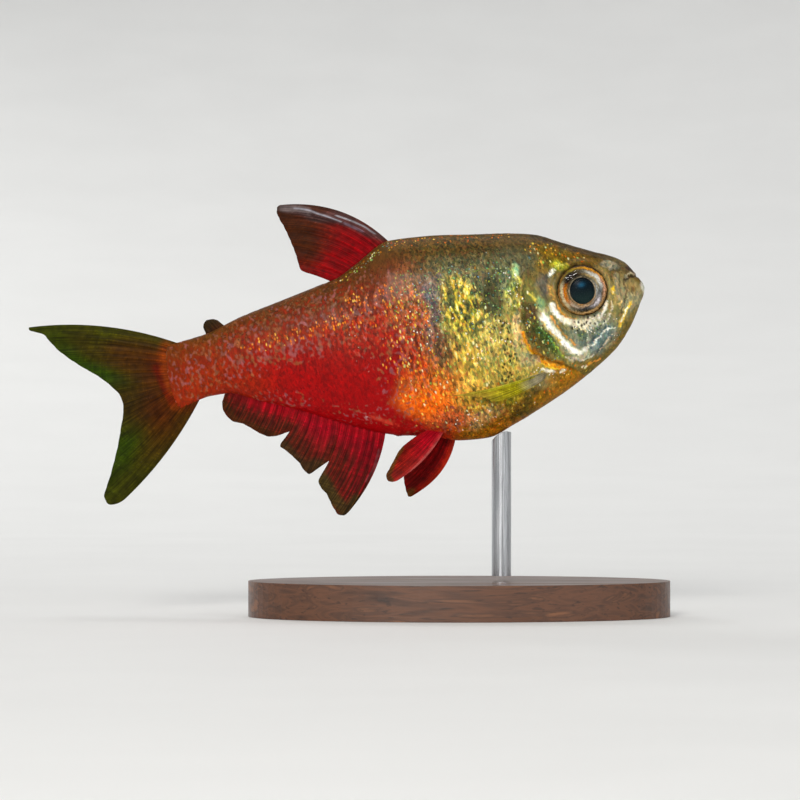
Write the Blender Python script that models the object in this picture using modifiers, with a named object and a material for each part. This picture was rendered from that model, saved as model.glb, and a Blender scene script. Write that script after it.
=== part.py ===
"""Flame tetra (Hyphessobrycon flammeus), a still life-size model on a small display stand.

The fish is modelled straight, in its own frame: x runs from the base of the tail fin to the snout,
y to the fish's left and z up, with the body's axis on z = 0. Its tail is then bent to the fish's left,
and an empty pitches it nose up and holds it over the stand. The world's origin is the middle of the
underside of the stand's base.
"""

import bisect
import math
from dataclasses import dataclass

import bmesh
import bpy
from mathutils import Vector

MM = 0.001

# Driving dimensions, in millimetres
STANDARD_LENGTH = 30.0
GAP = 0.3
PITCH_DEG = 11.1
FISH_ORIGIN = (-18.0, 0.0, 14.5)
BEND_FROM = 15.0
BEND_PER_MM2 = 0.0058

# Outlines of the body from the side and half its width from above, as (x, size) stations
BACK = ((0.0, 2.2), (1.0, 2.25), (2.8, 2.42), (5.0, 3.0), (7.5, 3.48), (10.3, 4.0), (11.4, 4.2),
        (12.8, 4.86), (15.1, 5.88), (17.4, 5.72), (20.2, 5.27), (22.4, 4.9), (24.0, 4.5), (25.5, 3.72),
        (27.3, 2.8), (28.7, 2.08), (29.5, 1.25), (29.85, 0.58), (30.0, 0.02))
BELLY = ((0.0, -2.0), (1.0, -1.72), (2.4, -1.45), (3.4, -1.48), (5.4, -2.36), (7.7, -3.4), (10.0, -4.6),
         (12.7, -5.85), (15.4, -6.55), (17.0, -7.1), (18.8, -7.27), (20.4, -6.8), (22.5, -6.02),
         (24.2, -5.3), (25.9, -4.42), (27.6, -3.35), (28.9, -1.95), (29.6, -0.85), (29.88, -0.4),
         (30.0, -0.02))
HALF_WIDTH = ((0.0, 0.5), (1.0, 0.66), (3.0, 0.88), (5.0, 1.12), (7.5, 1.42), (10.0, 1.74), (12.5, 2.02),
              (15.0, 2.25), (18.0, 2.42), (20.5, 2.42), (22.5, 2.32), (24.5, 2.16), (26.2, 1.95),
              (27.5, 1.62), (28.7, 1.2), (29.5, 0.8), (29.85, 0.45), (30.0, 0.02))
WIDEST_SHARE = 0.55
KEEL_POWER = 1.2
TAIL_END_ROUNDING = 0.45
LEAST_SIZE = 0.02
BODY_SIDES = 32
BODY_RINGS = 42

# Thin cuts that part the body into the pieces a person would name
GILL_OPENING = ((23.4, 7.0), (23.45, 3.6), (23.2, 2.6), (22.5, 1.9), (22.05, 0.4), (21.95, -1.1),
                (22.3, -2.4), (23.3, -3.4), (24.7, -4.15), (25.3, -5.0), (25.6, -7.0))
MOUTH_LINE = ((31.0, 0.98), (29.6, 0.88), (29.1, 0.74), (28.8, 0.3), (28.6, -0.45), (28.1, -1.2),
              (27.4, -2.0), (26.9, -2.8), (26.6, -3.6), (26.5, -6.0))
STALK_CUT = ((5.6, 6.0), (4.9, -5.0))
CUT_REACH = 6.0

# Gill cover: a shell let into each cheek, from behind the eye to the gill opening
COVER_OUTLINE = ((21.0, 2.3), (23.6, 2.3), (23.75, 1.2), (23.8, 0.1), (24.05, -0.9), (24.4, -1.8),
                 (24.8, -2.6), (25.4, -3.15), (25.55, -3.55), (25.2, -3.95), (21.0, -3.95))
COVER_THICKNESS = 0.65
COVER_FROM_Y = 0.6
COVER_TO_Y = 5.0

# Eye: a dome set in a round socket
EYE_CENTRE = (26.16, 0.54)
EYE_RADIUS = 1.48
EYE_INNER = 0.95
EYE_OUTER = 2.06
EYE_SIDES = 24
EYE_RINGS = 12
SOCKET_FLOOR = 0.6
SOCKET_DEPTH = 3.0

# Nostril pits and lips
NOSTRILS = ((28.35, 1.55), (27.9, 1.83))
NOSTRIL_RADIUS = 0.18
LIP_RADIUS = 0.15
LIP_SINK = 0.04
LIP_STEPS = 5
LIP_CORNER_SHARE = 0.4
UPPER_LIP = ((29.55, 1.02), (29.15, 0.98), (28.62, 0.62))
LOWER_LIP = ((29.8, 0.58), (29.3, 0.48), (29.02, 0.02))

# Fins
MEMBRANE = 0.5
FIN_EDGE_SHARE = 0.5
RIDGE = 0.13
RIDGE_FADE = 0.5
RIDGE_FLANK = 0.24
EDGE_THINS_FROM = 0.7
SCALLOP = 0.985
SPREAD_POWER = 0.8
SINK = 0.6

# Stand
BASE_LENGTH = 26.0
BASE_WIDTH = 14.0
BASE_HEIGHT = 2.2
BASE_SIDES = 96
BASE_BEVEL = 0.5
ROD_RADIUS = 0.6
ROD_SIDES = 24
ROD_FISH_X = 19.6
ROD_REACH = 2.0

# Colour, roughness and metallic value of each finish
FINISHES = {
    "head_skin": ((0.42, 0.36, 0.16), 0.35, 0.35),
    "gill_cover_skin": ((0.62, 0.60, 0.42), 0.25, 0.6),
    "gold_flank": ((0.50, 0.30, 0.14), 0.35, 0.3),
    "red_flank": ((0.60, 0.07, 0.03), 0.4, 0.1),
    "red_fin": ((0.42, 0.03, 0.02), 0.45, 0.0),
    "olive_fin": ((0.16, 0.12, 0.02), 0.45, 0.0),
    "gold_fin": ((0.55, 0.45, 0.08), 0.35, 0.1),
    "eye": ((0.55, 0.50, 0.36), 0.1, 0.5),
    "walnut": ((0.16, 0.08, 0.04), 0.5, 0.0),
    "steel": ((0.6, 0.6, 0.62), 0.3, 1.0),
}


@dataclass
class Lobe:
    """A stretch of a fin's edge: the share of the rays that reach it, and its outline as (x, z) points."""

    rays_to: float
    edge: tuple


@dataclass
class Fin:
    """A fin with its rays, whose roots and edges run from the leading ray to the last.

    The bow is how far the first and the last ray arch, as a share of their length.
    """

    name: str
    finish: str
    root: tuple
    lobes: tuple
    rays: int
    rows: int
    notches: tuple = ()
    bow: tuple = (0.0, 0.0)
    root_y: float = 0.0
    edge_y: tuple = (0.0, 0.0)
    ridge: float = RIDGE


FINS = (
    Fin("dorsal_fin", "red_fin", root=((15.4, "back"), (11.2, "back")), rays=11, rows=8, bow=(0.118, 0.06),
        lobes=(Lobe(1.0, ((8.95, 9.22), (8.62, 8.95), (8.7, 8.1), (9.05, 6.8), (9.3, 5.6), (9.55, 4.98))),)),
    Fin("adipose_fin", "olive_fin", root=((4.45, "back"), (2.95, "back")), rays=4, rows=5, ridge=0.0,
        lobes=(Lobe(1.0, ((3.75, 3.17), (3.3, 3.24), (2.9, 3.16), (2.72, 2.85))),)),
    Fin("anal_fin", "red_fin", root=((12.75, "belly"), (3.5, "belly")), rays=22, rows=7, bow=(-0.09, -0.04),
        lobes=(Lobe(0.26, ((8.9, -10.24), (8.55, -9.85), (8.25, -8.7), (7.95, -7.8))),
               Lobe(0.5, ((8.0, -7.05), (7.4, -7.32), (6.6, -6.05), (5.8, -5.05))),
               Lobe(1.0, ((5.75, -4.72), (5.4, -4.5), (4.1, -3.55), (3.4, -3.2), (2.95, -2.3)))),
        notches=((8.72, -6.75), (6.72, -4.62))),
    Fin("tail_fin_upper", "olive_fin", root=((0.9, 1.85), (0.5, -0.1)), rays=10, rows=9, bow=(0.055, 0.0),
        lobes=(Lobe(1.0, ((-7.68, 4.9), (-6.95, 4.35), (-6.2, 3.2), (-5.2, 1.98), (-4.1, 1.05),
                          (-3.4, 0.25), (-2.95, -0.62))),)),
    Fin("tail_fin_lower", "olive_fin", root=((0.9, -1.75), (0.5, -0.4)), rays=9, rows=9, bow=(-0.057, 0.0),
        lobes=(Lobe(1.0, ((-4.45, -6.84), (-5.0, -6.65), (-5.12, -5.95), (-4.45, -4.5), (-3.65, -3.05),
                          (-3.15, -1.9), (-2.95, -0.95))),)),
    Fin("pelvic_fin_right", "red_fin", root=((16.15, -6.3), (15.1, -6.0)), rays=8, rows=7, bow=(-0.068, 0.02),
        root_y=-0.5, edge_y=(-1.7, -1.25),
        lobes=(Lobe(1.0, ((12.5, -8.83), (12.05, -8.5), (12.35, -7.85), (12.75, -7.35), (13.2, -6.85))),)),
    Fin("pelvic_fin_left", "red_fin", root=((16.95, -6.4), (15.3, -6.0)), rays=8, rows=7, bow=(-0.13, 0.0),
        root_y=0.5, edge_y=(1.5, 1.15),
        lobes=(Lobe(1.0, ((13.35, -9.94), (13.1, -9.4), (13.1, -8.8), (13.4, -8.2), (13.8, -7.5))),)),
    Fin("pectoral_fin_right", "gold_fin", root=((23.3, -3.7), (22.7, -4.6)), rays=10, rows=7,
        bow=(-0.026, -0.01),
        root_y=-1.35, edge_y=(-3.0, -2.5),
        lobes=(Lobe(1.0, ((16.7, -4.2), (17.6, -4.5), (18.7, -4.8), (19.8, -4.98), (20.7, -5.08))),)),
    Fin("pectoral_fin_left", "gold_fin", root=((23.3, -3.7), (22.7, -4.6)), rays=10, rows=7,
        bow=(-0.026, -0.01),
        root_y=1.35, edge_y=(3.0, 2.5),
        lobes=(Lobe(1.0, ((16.7, -4.2), (17.6, -4.5), (18.7, -4.8), (19.8, -4.98), (20.7, -5.08))),)),
)


def smooth_curve(points):
    """Returns a function of x, smooth through the points and never past them."""
    xs = [p[0] for p in points]
    values = [p[1] for p in points]
    rises = [(values[i + 1] - values[i]) / (xs[i + 1] - xs[i]) for i in range(len(xs) - 1)]
    slopes = [rises[0]]
    for before, after in zip(rises, rises[1:]):
        slopes.append(2 * before * after / (before + after) if before * after > 0 else 0.0)
    slopes.append(rises[-1])

    def value(x):
        x = min(max(x, xs[0]), xs[-1])
        i = min(bisect.bisect_right(xs, x) - 1, len(rises) - 1)
        span = xs[i + 1] - xs[i]
        t = (x - xs[i]) / span
        return (values[i] * (1 + 2 * t) * (1 - t) ** 2 + values[i + 1] * t * t * (3 - 2 * t)
                + span * (slopes[i] * t * (1 - t) ** 2 + slopes[i + 1] * t * t * (t - 1)))

    return value


back_at = smooth_curve(BACK)
belly_at = smooth_curve(BELLY)
half_width_at = smooth_curve(HALF_WIDTH)


def point_on_body(x, angle, grow=0.0):
    """A point of the body's surface, in mm: angle 0 is the back and a quarter turn is the left side."""
    back = back_at(x)
    belly = belly_at(x)
    width = half_width_at(x)
    end = min(x / TAIL_END_ROUNDING, 1.0)
    rounding = math.sqrt(1 - (1 - end) ** 2)
    widest = belly + WIDEST_SHARE * (back - belly)
    upward = math.cos(angle)
    sideways = math.sin(angle)
    if upward >= 0:
        height = max((back - widest) * rounding + grow, LEAST_SIZE)
        share = abs(sideways)
    else:
        height = max((widest - belly) * rounding + grow, LEAST_SIZE)
        share = abs(sideways) ** KEEL_POWER
    z = widest + height * upward
    y = math.copysign(share * max(width * rounding + grow, LEAST_SIZE), sideways)
    along = grow * (2 * x / STANDARD_LENGTH - 1)
    return Vector((x + along, y, z))


def body_mesh(name, grow=0.0):
    """The whole fish without its fins, as one closed surface moved out by grow."""
    bm = bmesh.new()
    bmesh.ops.create_uvsphere(bm, u_segments=BODY_SIDES, v_segments=BODY_RINGS, radius=1.0)
    for vert in bm.verts:
        x = STANDARD_LENGTH * (1 + max(-1.0, min(1.0, vert.co.z))) / 2
        angle = math.atan2(vert.co.y, vert.co.x)
        vert.co = point_on_body(x, angle, grow) * MM
    return new_object(name, bm)


def new_object(name, bm):
    """Makes an object of a bmesh, in triangles with their faces pointing outwards."""
    bmesh.ops.triangulate(bm, faces=bm.faces[:])
    bm.normal_update()
    bmesh.ops.recalc_face_normals(bm, faces=bm.faces[:])
    mesh = bpy.data.meshes.new(name)
    bm.to_mesh(mesh)
    bm.free()
    obj = bpy.data.objects.new(name, mesh)
    bpy.context.scene.collection.objects.link(obj)
    return obj


def prism(name, outline, y_from, y_to):
    """A flat outline of (x, z) points, made solid from one y to another."""
    bm = bmesh.new()
    corners = [bm.verts.new(Vector((x, y_from, z)) * MM) for x, z in outline]
    face = bm.faces.new(corners)
    made = bmesh.ops.extrude_face_region(bm, geom=[face])
    far = [item for item in made["geom"] if isinstance(item, bmesh.types.BMVert)]
    bmesh.ops.translate(bm, verts=far, vec=(0.0, (y_to - y_from) * MM, 0.0))
    return new_object(name, bm)


def grown_outline(outline, by):
    """The outline with each side moved outwards."""
    points = [Vector(p) for p in outline]
    count = len(points)
    area = sum(points[i - 1].cross(points[i]) for i in range(count)) / 2
    moved = []
    for i, point in enumerate(points):
        arriving = (point - points[i - 1]).normalized()
        leaving = (points[(i + 1) % count] - point).normalized()
        across = (arriving + leaving).normalized()
        outward = Vector((across.y, -across.x)) * math.copysign(1.0, area)
        squareness = max(0.5, math.sqrt((1 + arriving.dot(leaving)) / 2))
        moved.append(tuple(point + outward * by / squareness))
    return moved


def ribbon_outline(line, thickness):
    """The outline of a line of (x, z) points drawn with a pen of that thickness."""
    points = [Vector(p) for p in line]
    left = []
    right = []
    for i, point in enumerate(points):
        ahead = points[min(i + 1, len(points) - 1)]
        behind = points[max(i - 1, 0)]
        run = (ahead - behind).normalized()
        across = Vector((-run.y, run.x)) * thickness / 2
        left.append(tuple(point + across))
        right.append(tuple(point - across))
    return left + right[::-1]


def thin_cut(name, line):
    """A cutter as thick as the gap between pieces, right across the fish."""
    return prism(name, ribbon_outline(line, GAP), -CUT_REACH, CUT_REACH)


def with_boolean(obj, operation, others):
    """Joins the object with the others, or cuts it by them, and removes the others."""
    group = bpy.data.collections.new("operands")
    bpy.context.scene.collection.children.link(group)
    for other in others:
        bpy.context.scene.collection.objects.unlink(other)
        group.objects.link(other)
    modifier = obj.modifiers.new("join_or_cut", "BOOLEAN")
    modifier.operation = operation
    modifier.solver = "EXACT"
    modifier.operand_type = "COLLECTION"
    modifier.collection = group
    graph = bpy.context.evaluated_depsgraph_get()
    bm = bmesh.new()
    bm.from_mesh(bpy.data.meshes.new_from_object(obj.evaluated_get(graph)))
    bmesh.ops.triangulate(bm, faces=bm.faces[:])
    bm.to_mesh(obj.data)
    bm.free()
    obj.modifiers.clear()
    for other in others:
        bpy.data.objects.remove(other)
    bpy.data.collections.remove(group)


def copy_of(obj, name):
    """A copy of the object with its own mesh."""
    twin = bpy.data.objects.new(name, obj.data.copy())
    bpy.context.scene.collection.objects.link(twin)
    return twin


def closed_surfaces(bm):
    """The bmesh's connected groups of faces, largest volume first."""
    unseen = set(bm.faces)
    groups = []
    while unseen:
        group = []
        waiting = [unseen.pop()]
        while waiting:
            face = waiting.pop()
            group.append(face)
            for edge in face.edges:
                for beside in edge.link_faces:
                    if beside in unseen:
                        unseen.remove(beside)
                        waiting.append(beside)
        groups.append(group)

    def volume(group):
        total = 0.0
        for face in group:
            first = face.verts[0].co
            for second, third in zip(face.verts[1:], face.verts[2:]):
                total += first.dot(second.co.cross(third.co)) / 6
        return abs(total)

    return sorted(groups, key=volume, reverse=True)


def separate_pieces(obj, names):
    """Splits an object into its largest closed surfaces, named from the tail forwards."""
    bm = bmesh.new()
    bm.from_mesh(obj.data)
    kept = closed_surfaces(bm)[: len(names)]
    kept.sort(key=lambda group: sum(face.calc_center_median().x for face in group) / len(group))
    marks = [{face.index for face in group} for group in kept]
    bm.free()
    pieces = {}
    for name, mark in zip(names, marks):
        part = bmesh.new()
        part.from_mesh(obj.data)
        others = [face for face in part.faces if face.index not in mark]
        bmesh.ops.delete(part, geom=others, context="FACES")
        pieces[name] = new_object(name, part)
    bpy.data.objects.remove(obj)
    return pieces


def keep_largest(obj):
    """Drops all but the largest closed surface of an object."""
    bm = bmesh.new()
    bm.from_mesh(obj.data)
    scraps = [face for group in closed_surfaces(bm)[1:] for face in group]
    bmesh.ops.delete(bm, geom=scraps, context="FACES")
    bm.to_mesh(obj.data)
    bm.free()


def body_pieces():
    """Head, lower jaw, trunk and tail stalk, parted from the whole body by thin cuts."""
    whole = body_mesh("body")
    cutters = [thin_cut("gill_cut", GILL_OPENING), thin_cut("mouth_cut", MOUTH_LINE),
               thin_cut("stalk_cut", STALK_CUT)]
    with_boolean(whole, "DIFFERENCE", cutters)
    return separate_pieces(whole, ("tail_stalk", "trunk", "head", "lower_jaw"))


def add_gill_cover(head, side, name):
    """Lets a shell of the cheek's own surface into one side of the head."""
    near = side * COVER_FROM_Y
    far = side * COVER_TO_Y
    cover = copy_of(head, name)
    with_boolean(cover, "INTERSECT", [prism("cover_block", COVER_OUTLINE, near + side * GAP, far)])
    with_boolean(cover, "DIFFERENCE", [body_mesh("cover_inside", -COVER_THICKNESS)])
    keep_largest(cover)
    pocket = prism("pocket", grown_outline(COVER_OUTLINE, GAP), near, far)
    with_boolean(pocket, "DIFFERENCE", [body_mesh("pocket_floor", -COVER_THICKNESS - GAP)])
    with_boolean(head, "DIFFERENCE", [pocket])
    return cover


def eye_dome(name, side, radius, inner, outer):
    """A flattened ball round the eye's centre, cut flat at its inner side."""
    bm = bmesh.new()
    bmesh.ops.create_uvsphere(bm, u_segments=EYE_SIDES, v_segments=EYE_RINGS, radius=1.0)
    depth = outer - inner
    for vert in bm.verts:
        across = vert.co.x * radius
        up = vert.co.y * radius
        out = inner + vert.co.z * depth
        vert.co = Vector((EYE_CENTRE[0] + across, side * out, EYE_CENTRE[1] + up)) * MM
    everything = bm.verts[:] + bm.edges[:] + bm.faces[:]
    bmesh.ops.bisect_plane(bm, geom=everything, plane_co=(0.0, side * (inner + 0.01) * MM, 0.0),
                           plane_no=(0.0, side, 0.0), clear_inner=True)
    rim = [edge for edge in bm.edges if edge.is_boundary]
    bmesh.ops.holes_fill(bm, edges=rim, sides=0)
    return new_object(name, bm)


def socket_cutter(side):
    """A round plug that opens the eye's socket, wider than the eye by the gap."""
    bm = bmesh.new()
    bmesh.ops.create_cone(bm, cap_ends=True, segments=EYE_SIDES, radius1=(EYE_RADIUS + GAP) * MM,
                          radius2=(EYE_RADIUS + GAP) * MM, depth=SOCKET_DEPTH * MM)
    for vert in bm.verts:
        across, up, along = vert.co
        out = side * (SOCKET_FLOOR + SOCKET_DEPTH / 2) * MM + along
        vert.co = Vector((EYE_CENTRE[0] * MM + across, out, EYE_CENTRE[1] * MM + up))
    return new_object("socket", bm)


def side_point(x, z, grow=0.0):
    """The point of the right or left flank at this x and z, as (x, |y|, z)."""
    low = 0.0
    high = math.pi
    for _ in range(30):
        angle = (low + high) / 2
        if point_on_body(x, angle, grow).z > z:
            low = angle
        else:
            high = angle
    return point_on_body(x, angle, grow)


def nostril_cutters():
    """Small balls on the skin, two on each side of the snout."""
    cutters = []
    for side in (-1, 1):
        for x, z in NOSTRILS:
            bm = bmesh.new()
            bmesh.ops.create_uvsphere(bm, u_segments=8, v_segments=6, radius=NOSTRIL_RADIUS * MM)
            spot = side_point(x, z)
            bmesh.ops.translate(bm, verts=bm.verts[:], vec=Vector((spot.x, side * spot.y, spot.z)) * MM)
            cutters.append(new_object("nostril", bm))
    return cutters


def lip(name, line):
    """A rounded lip that follows the mouth's edge round the snout, from the right corner to the left."""
    half = []
    xs = [p[0] for p in line][::-1]
    height_at = smooth_curve([p for p in line][::-1])
    for i in range(LIP_STEPS):
        x = xs[0] + (xs[-1] - xs[0]) * i / (LIP_STEPS - 1)
        half.append(side_point(x, height_at(x), -LIP_SINK))
    curve = bpy.data.curves.new(name, "CURVE")
    curve.dimensions = "3D"
    spline = curve.splines.new("POLY")
    route = [(p.x, -p.y, p.z) for p in half] + [(p.x, p.y, p.z) for p in half[::-1]]
    spline.points.add(len(route) - 1)
    for point, (x, y, z) in zip(spline.points, route):
        point.co = (x * MM, y * MM, z * MM, 1.0)
        point.radius = 1.0
    spline.points[0].radius = LIP_CORNER_SHARE
    spline.points[-1].radius = LIP_CORNER_SHARE
    curve.bevel_depth = LIP_RADIUS * MM
    curve.bevel_resolution = 1
    curve.use_fill_caps = True
    tube = bpy.data.objects.new(name, curve)
    bpy.context.scene.collection.objects.link(tube)
    return meshed(tube, name)


def meshed(curve_object, name):
    """Turns a curve object into a mesh object with its caps welded."""
    graph = bpy.context.evaluated_depsgraph_get()
    bm = bmesh.new()
    bm.from_mesh(bpy.data.meshes.new_from_object(curve_object.evaluated_get(graph)))
    bmesh.ops.remove_doubles(bm, verts=bm.verts[:], dist=0.001 * MM)
    bpy.data.objects.remove(curve_object)
    return new_object(name, bm)


def edge_point(lobe, first_share, share):
    """The point of a lobe's edge that the ray at this share of all the rays reaches."""
    points = [Vector(p) for p in lobe.edge]
    runs = [0.0]
    for before, after in zip(points, points[1:]):
        runs.append(runs[-1] + (after - before).length)
    along = (share - first_share) / (lobe.rays_to - first_share)
    at = max(0.0, min(1.0, along)) * runs[-1]
    x_at = smooth_curve([(run, p.x) for run, p in zip(runs, points)])
    z_at = smooth_curve([(run, p.y) for run, p in zip(runs, points)])
    return Vector((x_at(at), z_at(at)))


def root_point(fin, share):
    """Where the ray at this share starts, sunk into the body, as (x, z)."""
    (front_x, front_z), (rear_x, rear_z) = fin.root
    x = front_x + (rear_x - front_x) * share
    if front_z == "back":
        return Vector((x, back_at(x) - SINK))
    if front_z == "belly":
        return Vector((x, belly_at(x) + SINK))
    return Vector((x, front_z + (rear_z - front_z) * share))


@dataclass
class Column:
    """One line of the fin's net, from root to edge: its share of the rays, its tip and its ridge."""

    share: float
    tip: Vector
    ridge: float


def fin_columns(fin):
    """The net's columns: each ray as a ridge with a flank on either side, and the membrane between."""
    step = 1 / (fin.rays - 1)
    flank = RIDGE_FLANK * step
    starts = [0.0] + [lobe.rays_to for lobe in fin.lobes[:-1]]
    columns = []
    for i in range(fin.rays):
        share = i * step
        number = sum(share > lobe.rays_to + 1e-9 for lobe in fin.lobes)
        lobe = fin.lobes[number]

        def tip(at, number=number, lobe=lobe):
            return edge_point(lobe, starts[number], at)

        if i > 0:
            columns.append(Column(share - flank, tip(share - flank), 0.0))
        columns.append(Column(share, tip(share), fin.ridge))
        if i == fin.rays - 1:
            break
        columns.append(Column(share + flank, tip(share + flank), 0.0))
        between = share + step / 2
        if share + step > lobe.rays_to + 1e-9:
            columns.append(Column(between, Vector(fin.notches[number]), 0.0))
        else:
            root = root_point(fin, between)
            columns.append(Column(between, root + (tip(between) - root) * SCALLOP, 0.0))
    return columns


def fin_mesh(fin):
    """A closed slab with a net of columns and rows on each face, split into triangles alike."""
    columns = fin_columns(fin)

    def middle(column, down):
        """The point of the fin's middle surface on this column, down from 0 at the root to 1."""
        root = root_point(fin, column.share)
        run = column.tip - root
        across = Vector((run.y, -run.x))
        bow = fin.bow[0] + (fin.bow[1] - fin.bow[0]) * column.share
        point = root + run * down + across * bow * 4 * down * (1 - down)
        edge_y = fin.edge_y[0] + (fin.edge_y[1] - fin.edge_y[0]) * column.share
        y = fin.root_y + (edge_y - fin.root_y) * down ** SPREAD_POWER
        return Vector((point.x, y, point.y))

    def half_thickness(column, down):
        """Half the slab's thickness there, thinner towards the edge."""
        thin = max(0.0, (down - EDGE_THINS_FROM) / (1 - EDGE_THINS_FROM))
        share = 1 - (1 - FIN_EDGE_SHARE) * thin
        return (MEMBRANE / 2 + column.ridge * (1 - RIDGE_FADE * down)) * share

    bm = bmesh.new()
    bmesh.ops.create_grid(bm, x_segments=len(columns) - 1, y_segments=fin.rows - 1, size=0.5)
    bmesh.ops.triangulate(bm, faces=bm.faces[:], quad_method="FIXED")
    near = bm.verts[:]
    made = bmesh.ops.extrude_face_region(bm, geom=bm.faces[:])
    far = [item for item in made["geom"] if isinstance(item, bmesh.types.BMVert)]
    for verts, side in ((near, -1), (far, 1)):
        for vert in verts:
            index = round((vert.co.x + 0.5) * (len(columns) - 1))
            down = vert.co.y + 0.5
            offset = Vector((0.0, side * half_thickness(columns[index], down), 0.0))
            vert.co = (middle(columns[index], down) + offset) * MM
    return new_object(fin.name, bm)


def bend_tail(obj):
    """Swings what lies behind the middle of the body to the fish's left, ever more towards the tail."""
    for vert in obj.data.vertices:
        behind = max(0.0, BEND_FROM - vert.co.x / MM)
        vert.co.y += BEND_PER_MM2 * behind ** 2 * MM


def finish_material(name):
    """The material of one finish, made once."""
    if name in bpy.data.materials:
        return bpy.data.materials[name]
    colour, roughness, metallic = FINISHES[name]
    material = bpy.data.materials.new(name)
    material.use_nodes = True
    shader = material.node_tree.nodes["Principled BSDF"]
    shader.inputs["Base Color"].default_value = (*colour, 1.0)
    shader.inputs["Roughness"].default_value = roughness
    shader.inputs["Metallic"].default_value = metallic
    return material


def dress(obj, finish, collection):
    """Gives an object its material and smooth shading, and moves it to the model's collection."""
    obj.data.materials.clear()
    obj.data.materials.append(finish_material(finish))
    obj.data.shade_smooth()
    obj.data.set_sharp_from_angle(angle=math.radians(35))
    for holder in list(obj.users_collection):
        holder.objects.unlink(obj)
    collection.objects.link(obj)


def make_fish():
    """Every piece of the fish, straight and in its own frame, as {object: finish}."""
    pieces = body_pieces()
    head = pieces["head"]
    made = {}
    for side, word in ((-1, "right"), (1, "left")):
        cover = add_gill_cover(head, side, "gill_cover_" + word)
        made[cover] = "gill_cover_skin"
        made[eye_dome("eye_" + word, side, EYE_RADIUS, EYE_INNER, EYE_OUTER)] = "eye"
    with_boolean(head, "DIFFERENCE", [socket_cutter(-1), socket_cutter(1)] + nostril_cutters())
    with_boolean(head, "UNION", [lip("upper_lip", UPPER_LIP)])
    with_boolean(pieces["lower_jaw"], "UNION", [lip("lower_lip", LOWER_LIP)])
    for obj in pieces.values():
        keep_largest(obj)
    made[head] = "head_skin"
    made[pieces["lower_jaw"]] = "head_skin"
    made[pieces["trunk"]] = "gold_flank"
    made[pieces["tail_stalk"]] = "red_flank"
    for fin in FINS:
        obj = fin_mesh(fin)
        with_boolean(obj, "DIFFERENCE", [body_mesh("grown_body", GAP)])
        keep_largest(obj)
        made[obj] = fin.finish
    return made


def make_stand(fish_pose, collection):
    """The oval base and the rod that holds the fish under its chest."""
    bm = bmesh.new()
    bmesh.ops.create_cone(bm, cap_ends=True, segments=BASE_SIDES, radius1=0.5, radius2=0.5, depth=1.0)
    bmesh.ops.scale(bm, verts=bm.verts[:], vec=(BASE_LENGTH * MM, BASE_WIDTH * MM, BASE_HEIGHT * MM))
    base = new_object("stand_base", bm)
    base.location = (0.0, 0.0, BASE_HEIGHT / 2 * MM)
    bevel = base.modifiers.new("edge", "BEVEL")
    bevel.width = BASE_BEVEL * MM
    bevel.segments = 2
    bevel.limit_method = "ANGLE"
    bevel.angle_limit = math.radians(60)
    dress(base, "walnut", collection)

    chest = fish_pose.matrix_world @ (Vector((ROD_FISH_X, 0.0, belly_at(ROD_FISH_X))) * MM)
    bottom = (BASE_HEIGHT + GAP) * MM
    top = chest.z + ROD_REACH * MM
    bm = bmesh.new()
    bmesh.ops.create_cone(bm, cap_ends=True, segments=ROD_SIDES, radius1=ROD_RADIUS * MM,
                          radius2=ROD_RADIUS * MM, depth=top - bottom)
    bmesh.ops.translate(bm, verts=bm.verts[:], vec=(chest.x, 0.0, (top + bottom) / 2))
    rod = new_object("stand_rod", bm)
    hollow = body_mesh("grown_body", GAP)
    hollow.data.transform(fish_pose.matrix_world)
    with_boolean(rod, "DIFFERENCE", [hollow])
    keep_largest(rod)
    dress(rod, "steel", collection)


def main():
    for obj in list(bpy.data.objects):
        bpy.data.objects.remove(obj)
    model = bpy.data.collections.new("flame_tetra")
    bpy.context.scene.collection.children.link(model)

    fish_pose = bpy.data.objects.new("fish_pose", None)
    model.objects.link(fish_pose)
    fish_pose.location = Vector(FISH_ORIGIN) * MM
    fish_pose.rotation_euler = (0.0, -math.radians(PITCH_DEG), 0.0)
    bpy.context.view_layer.update()

    for obj, finish in make_fish().items():
        bend_tail(obj)
        dress(obj, finish, model)
        obj.parent = fish_pose
    make_stand(fish_pose, model)


main()
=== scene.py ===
"""Looks of a life-size flame tetra (Hyphessobrycon flammeus) on its display stand.

Shapes are worked out in the fish's own frame, in millimetres: x runs from the base of the tail fin to
the snout, y to the fish's left and z up. A Pose then bends the tail, pitches the fish nose up and holds
it over the stand, as in the solids.
"""

import itertools
import logging
import math
from dataclasses import dataclass, field
from enum import Enum

import bmesh
import bpy
import numpy as np
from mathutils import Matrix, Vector


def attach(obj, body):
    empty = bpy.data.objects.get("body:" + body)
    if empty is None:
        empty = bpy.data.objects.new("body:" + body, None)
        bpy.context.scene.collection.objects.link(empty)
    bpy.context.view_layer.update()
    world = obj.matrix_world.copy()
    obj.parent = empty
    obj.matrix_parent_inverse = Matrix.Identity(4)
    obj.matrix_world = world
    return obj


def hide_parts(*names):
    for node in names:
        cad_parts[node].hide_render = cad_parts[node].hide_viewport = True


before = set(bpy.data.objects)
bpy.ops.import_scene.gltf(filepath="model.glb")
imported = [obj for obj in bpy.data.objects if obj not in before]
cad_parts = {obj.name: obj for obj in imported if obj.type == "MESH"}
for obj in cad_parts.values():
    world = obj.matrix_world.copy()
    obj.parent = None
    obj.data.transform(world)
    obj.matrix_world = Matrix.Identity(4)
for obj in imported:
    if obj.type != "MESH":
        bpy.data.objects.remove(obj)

log = logging.getLogger("flame_tetra")

Array = np.ndarray
Socket = bpy.types.NodeSocket

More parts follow.
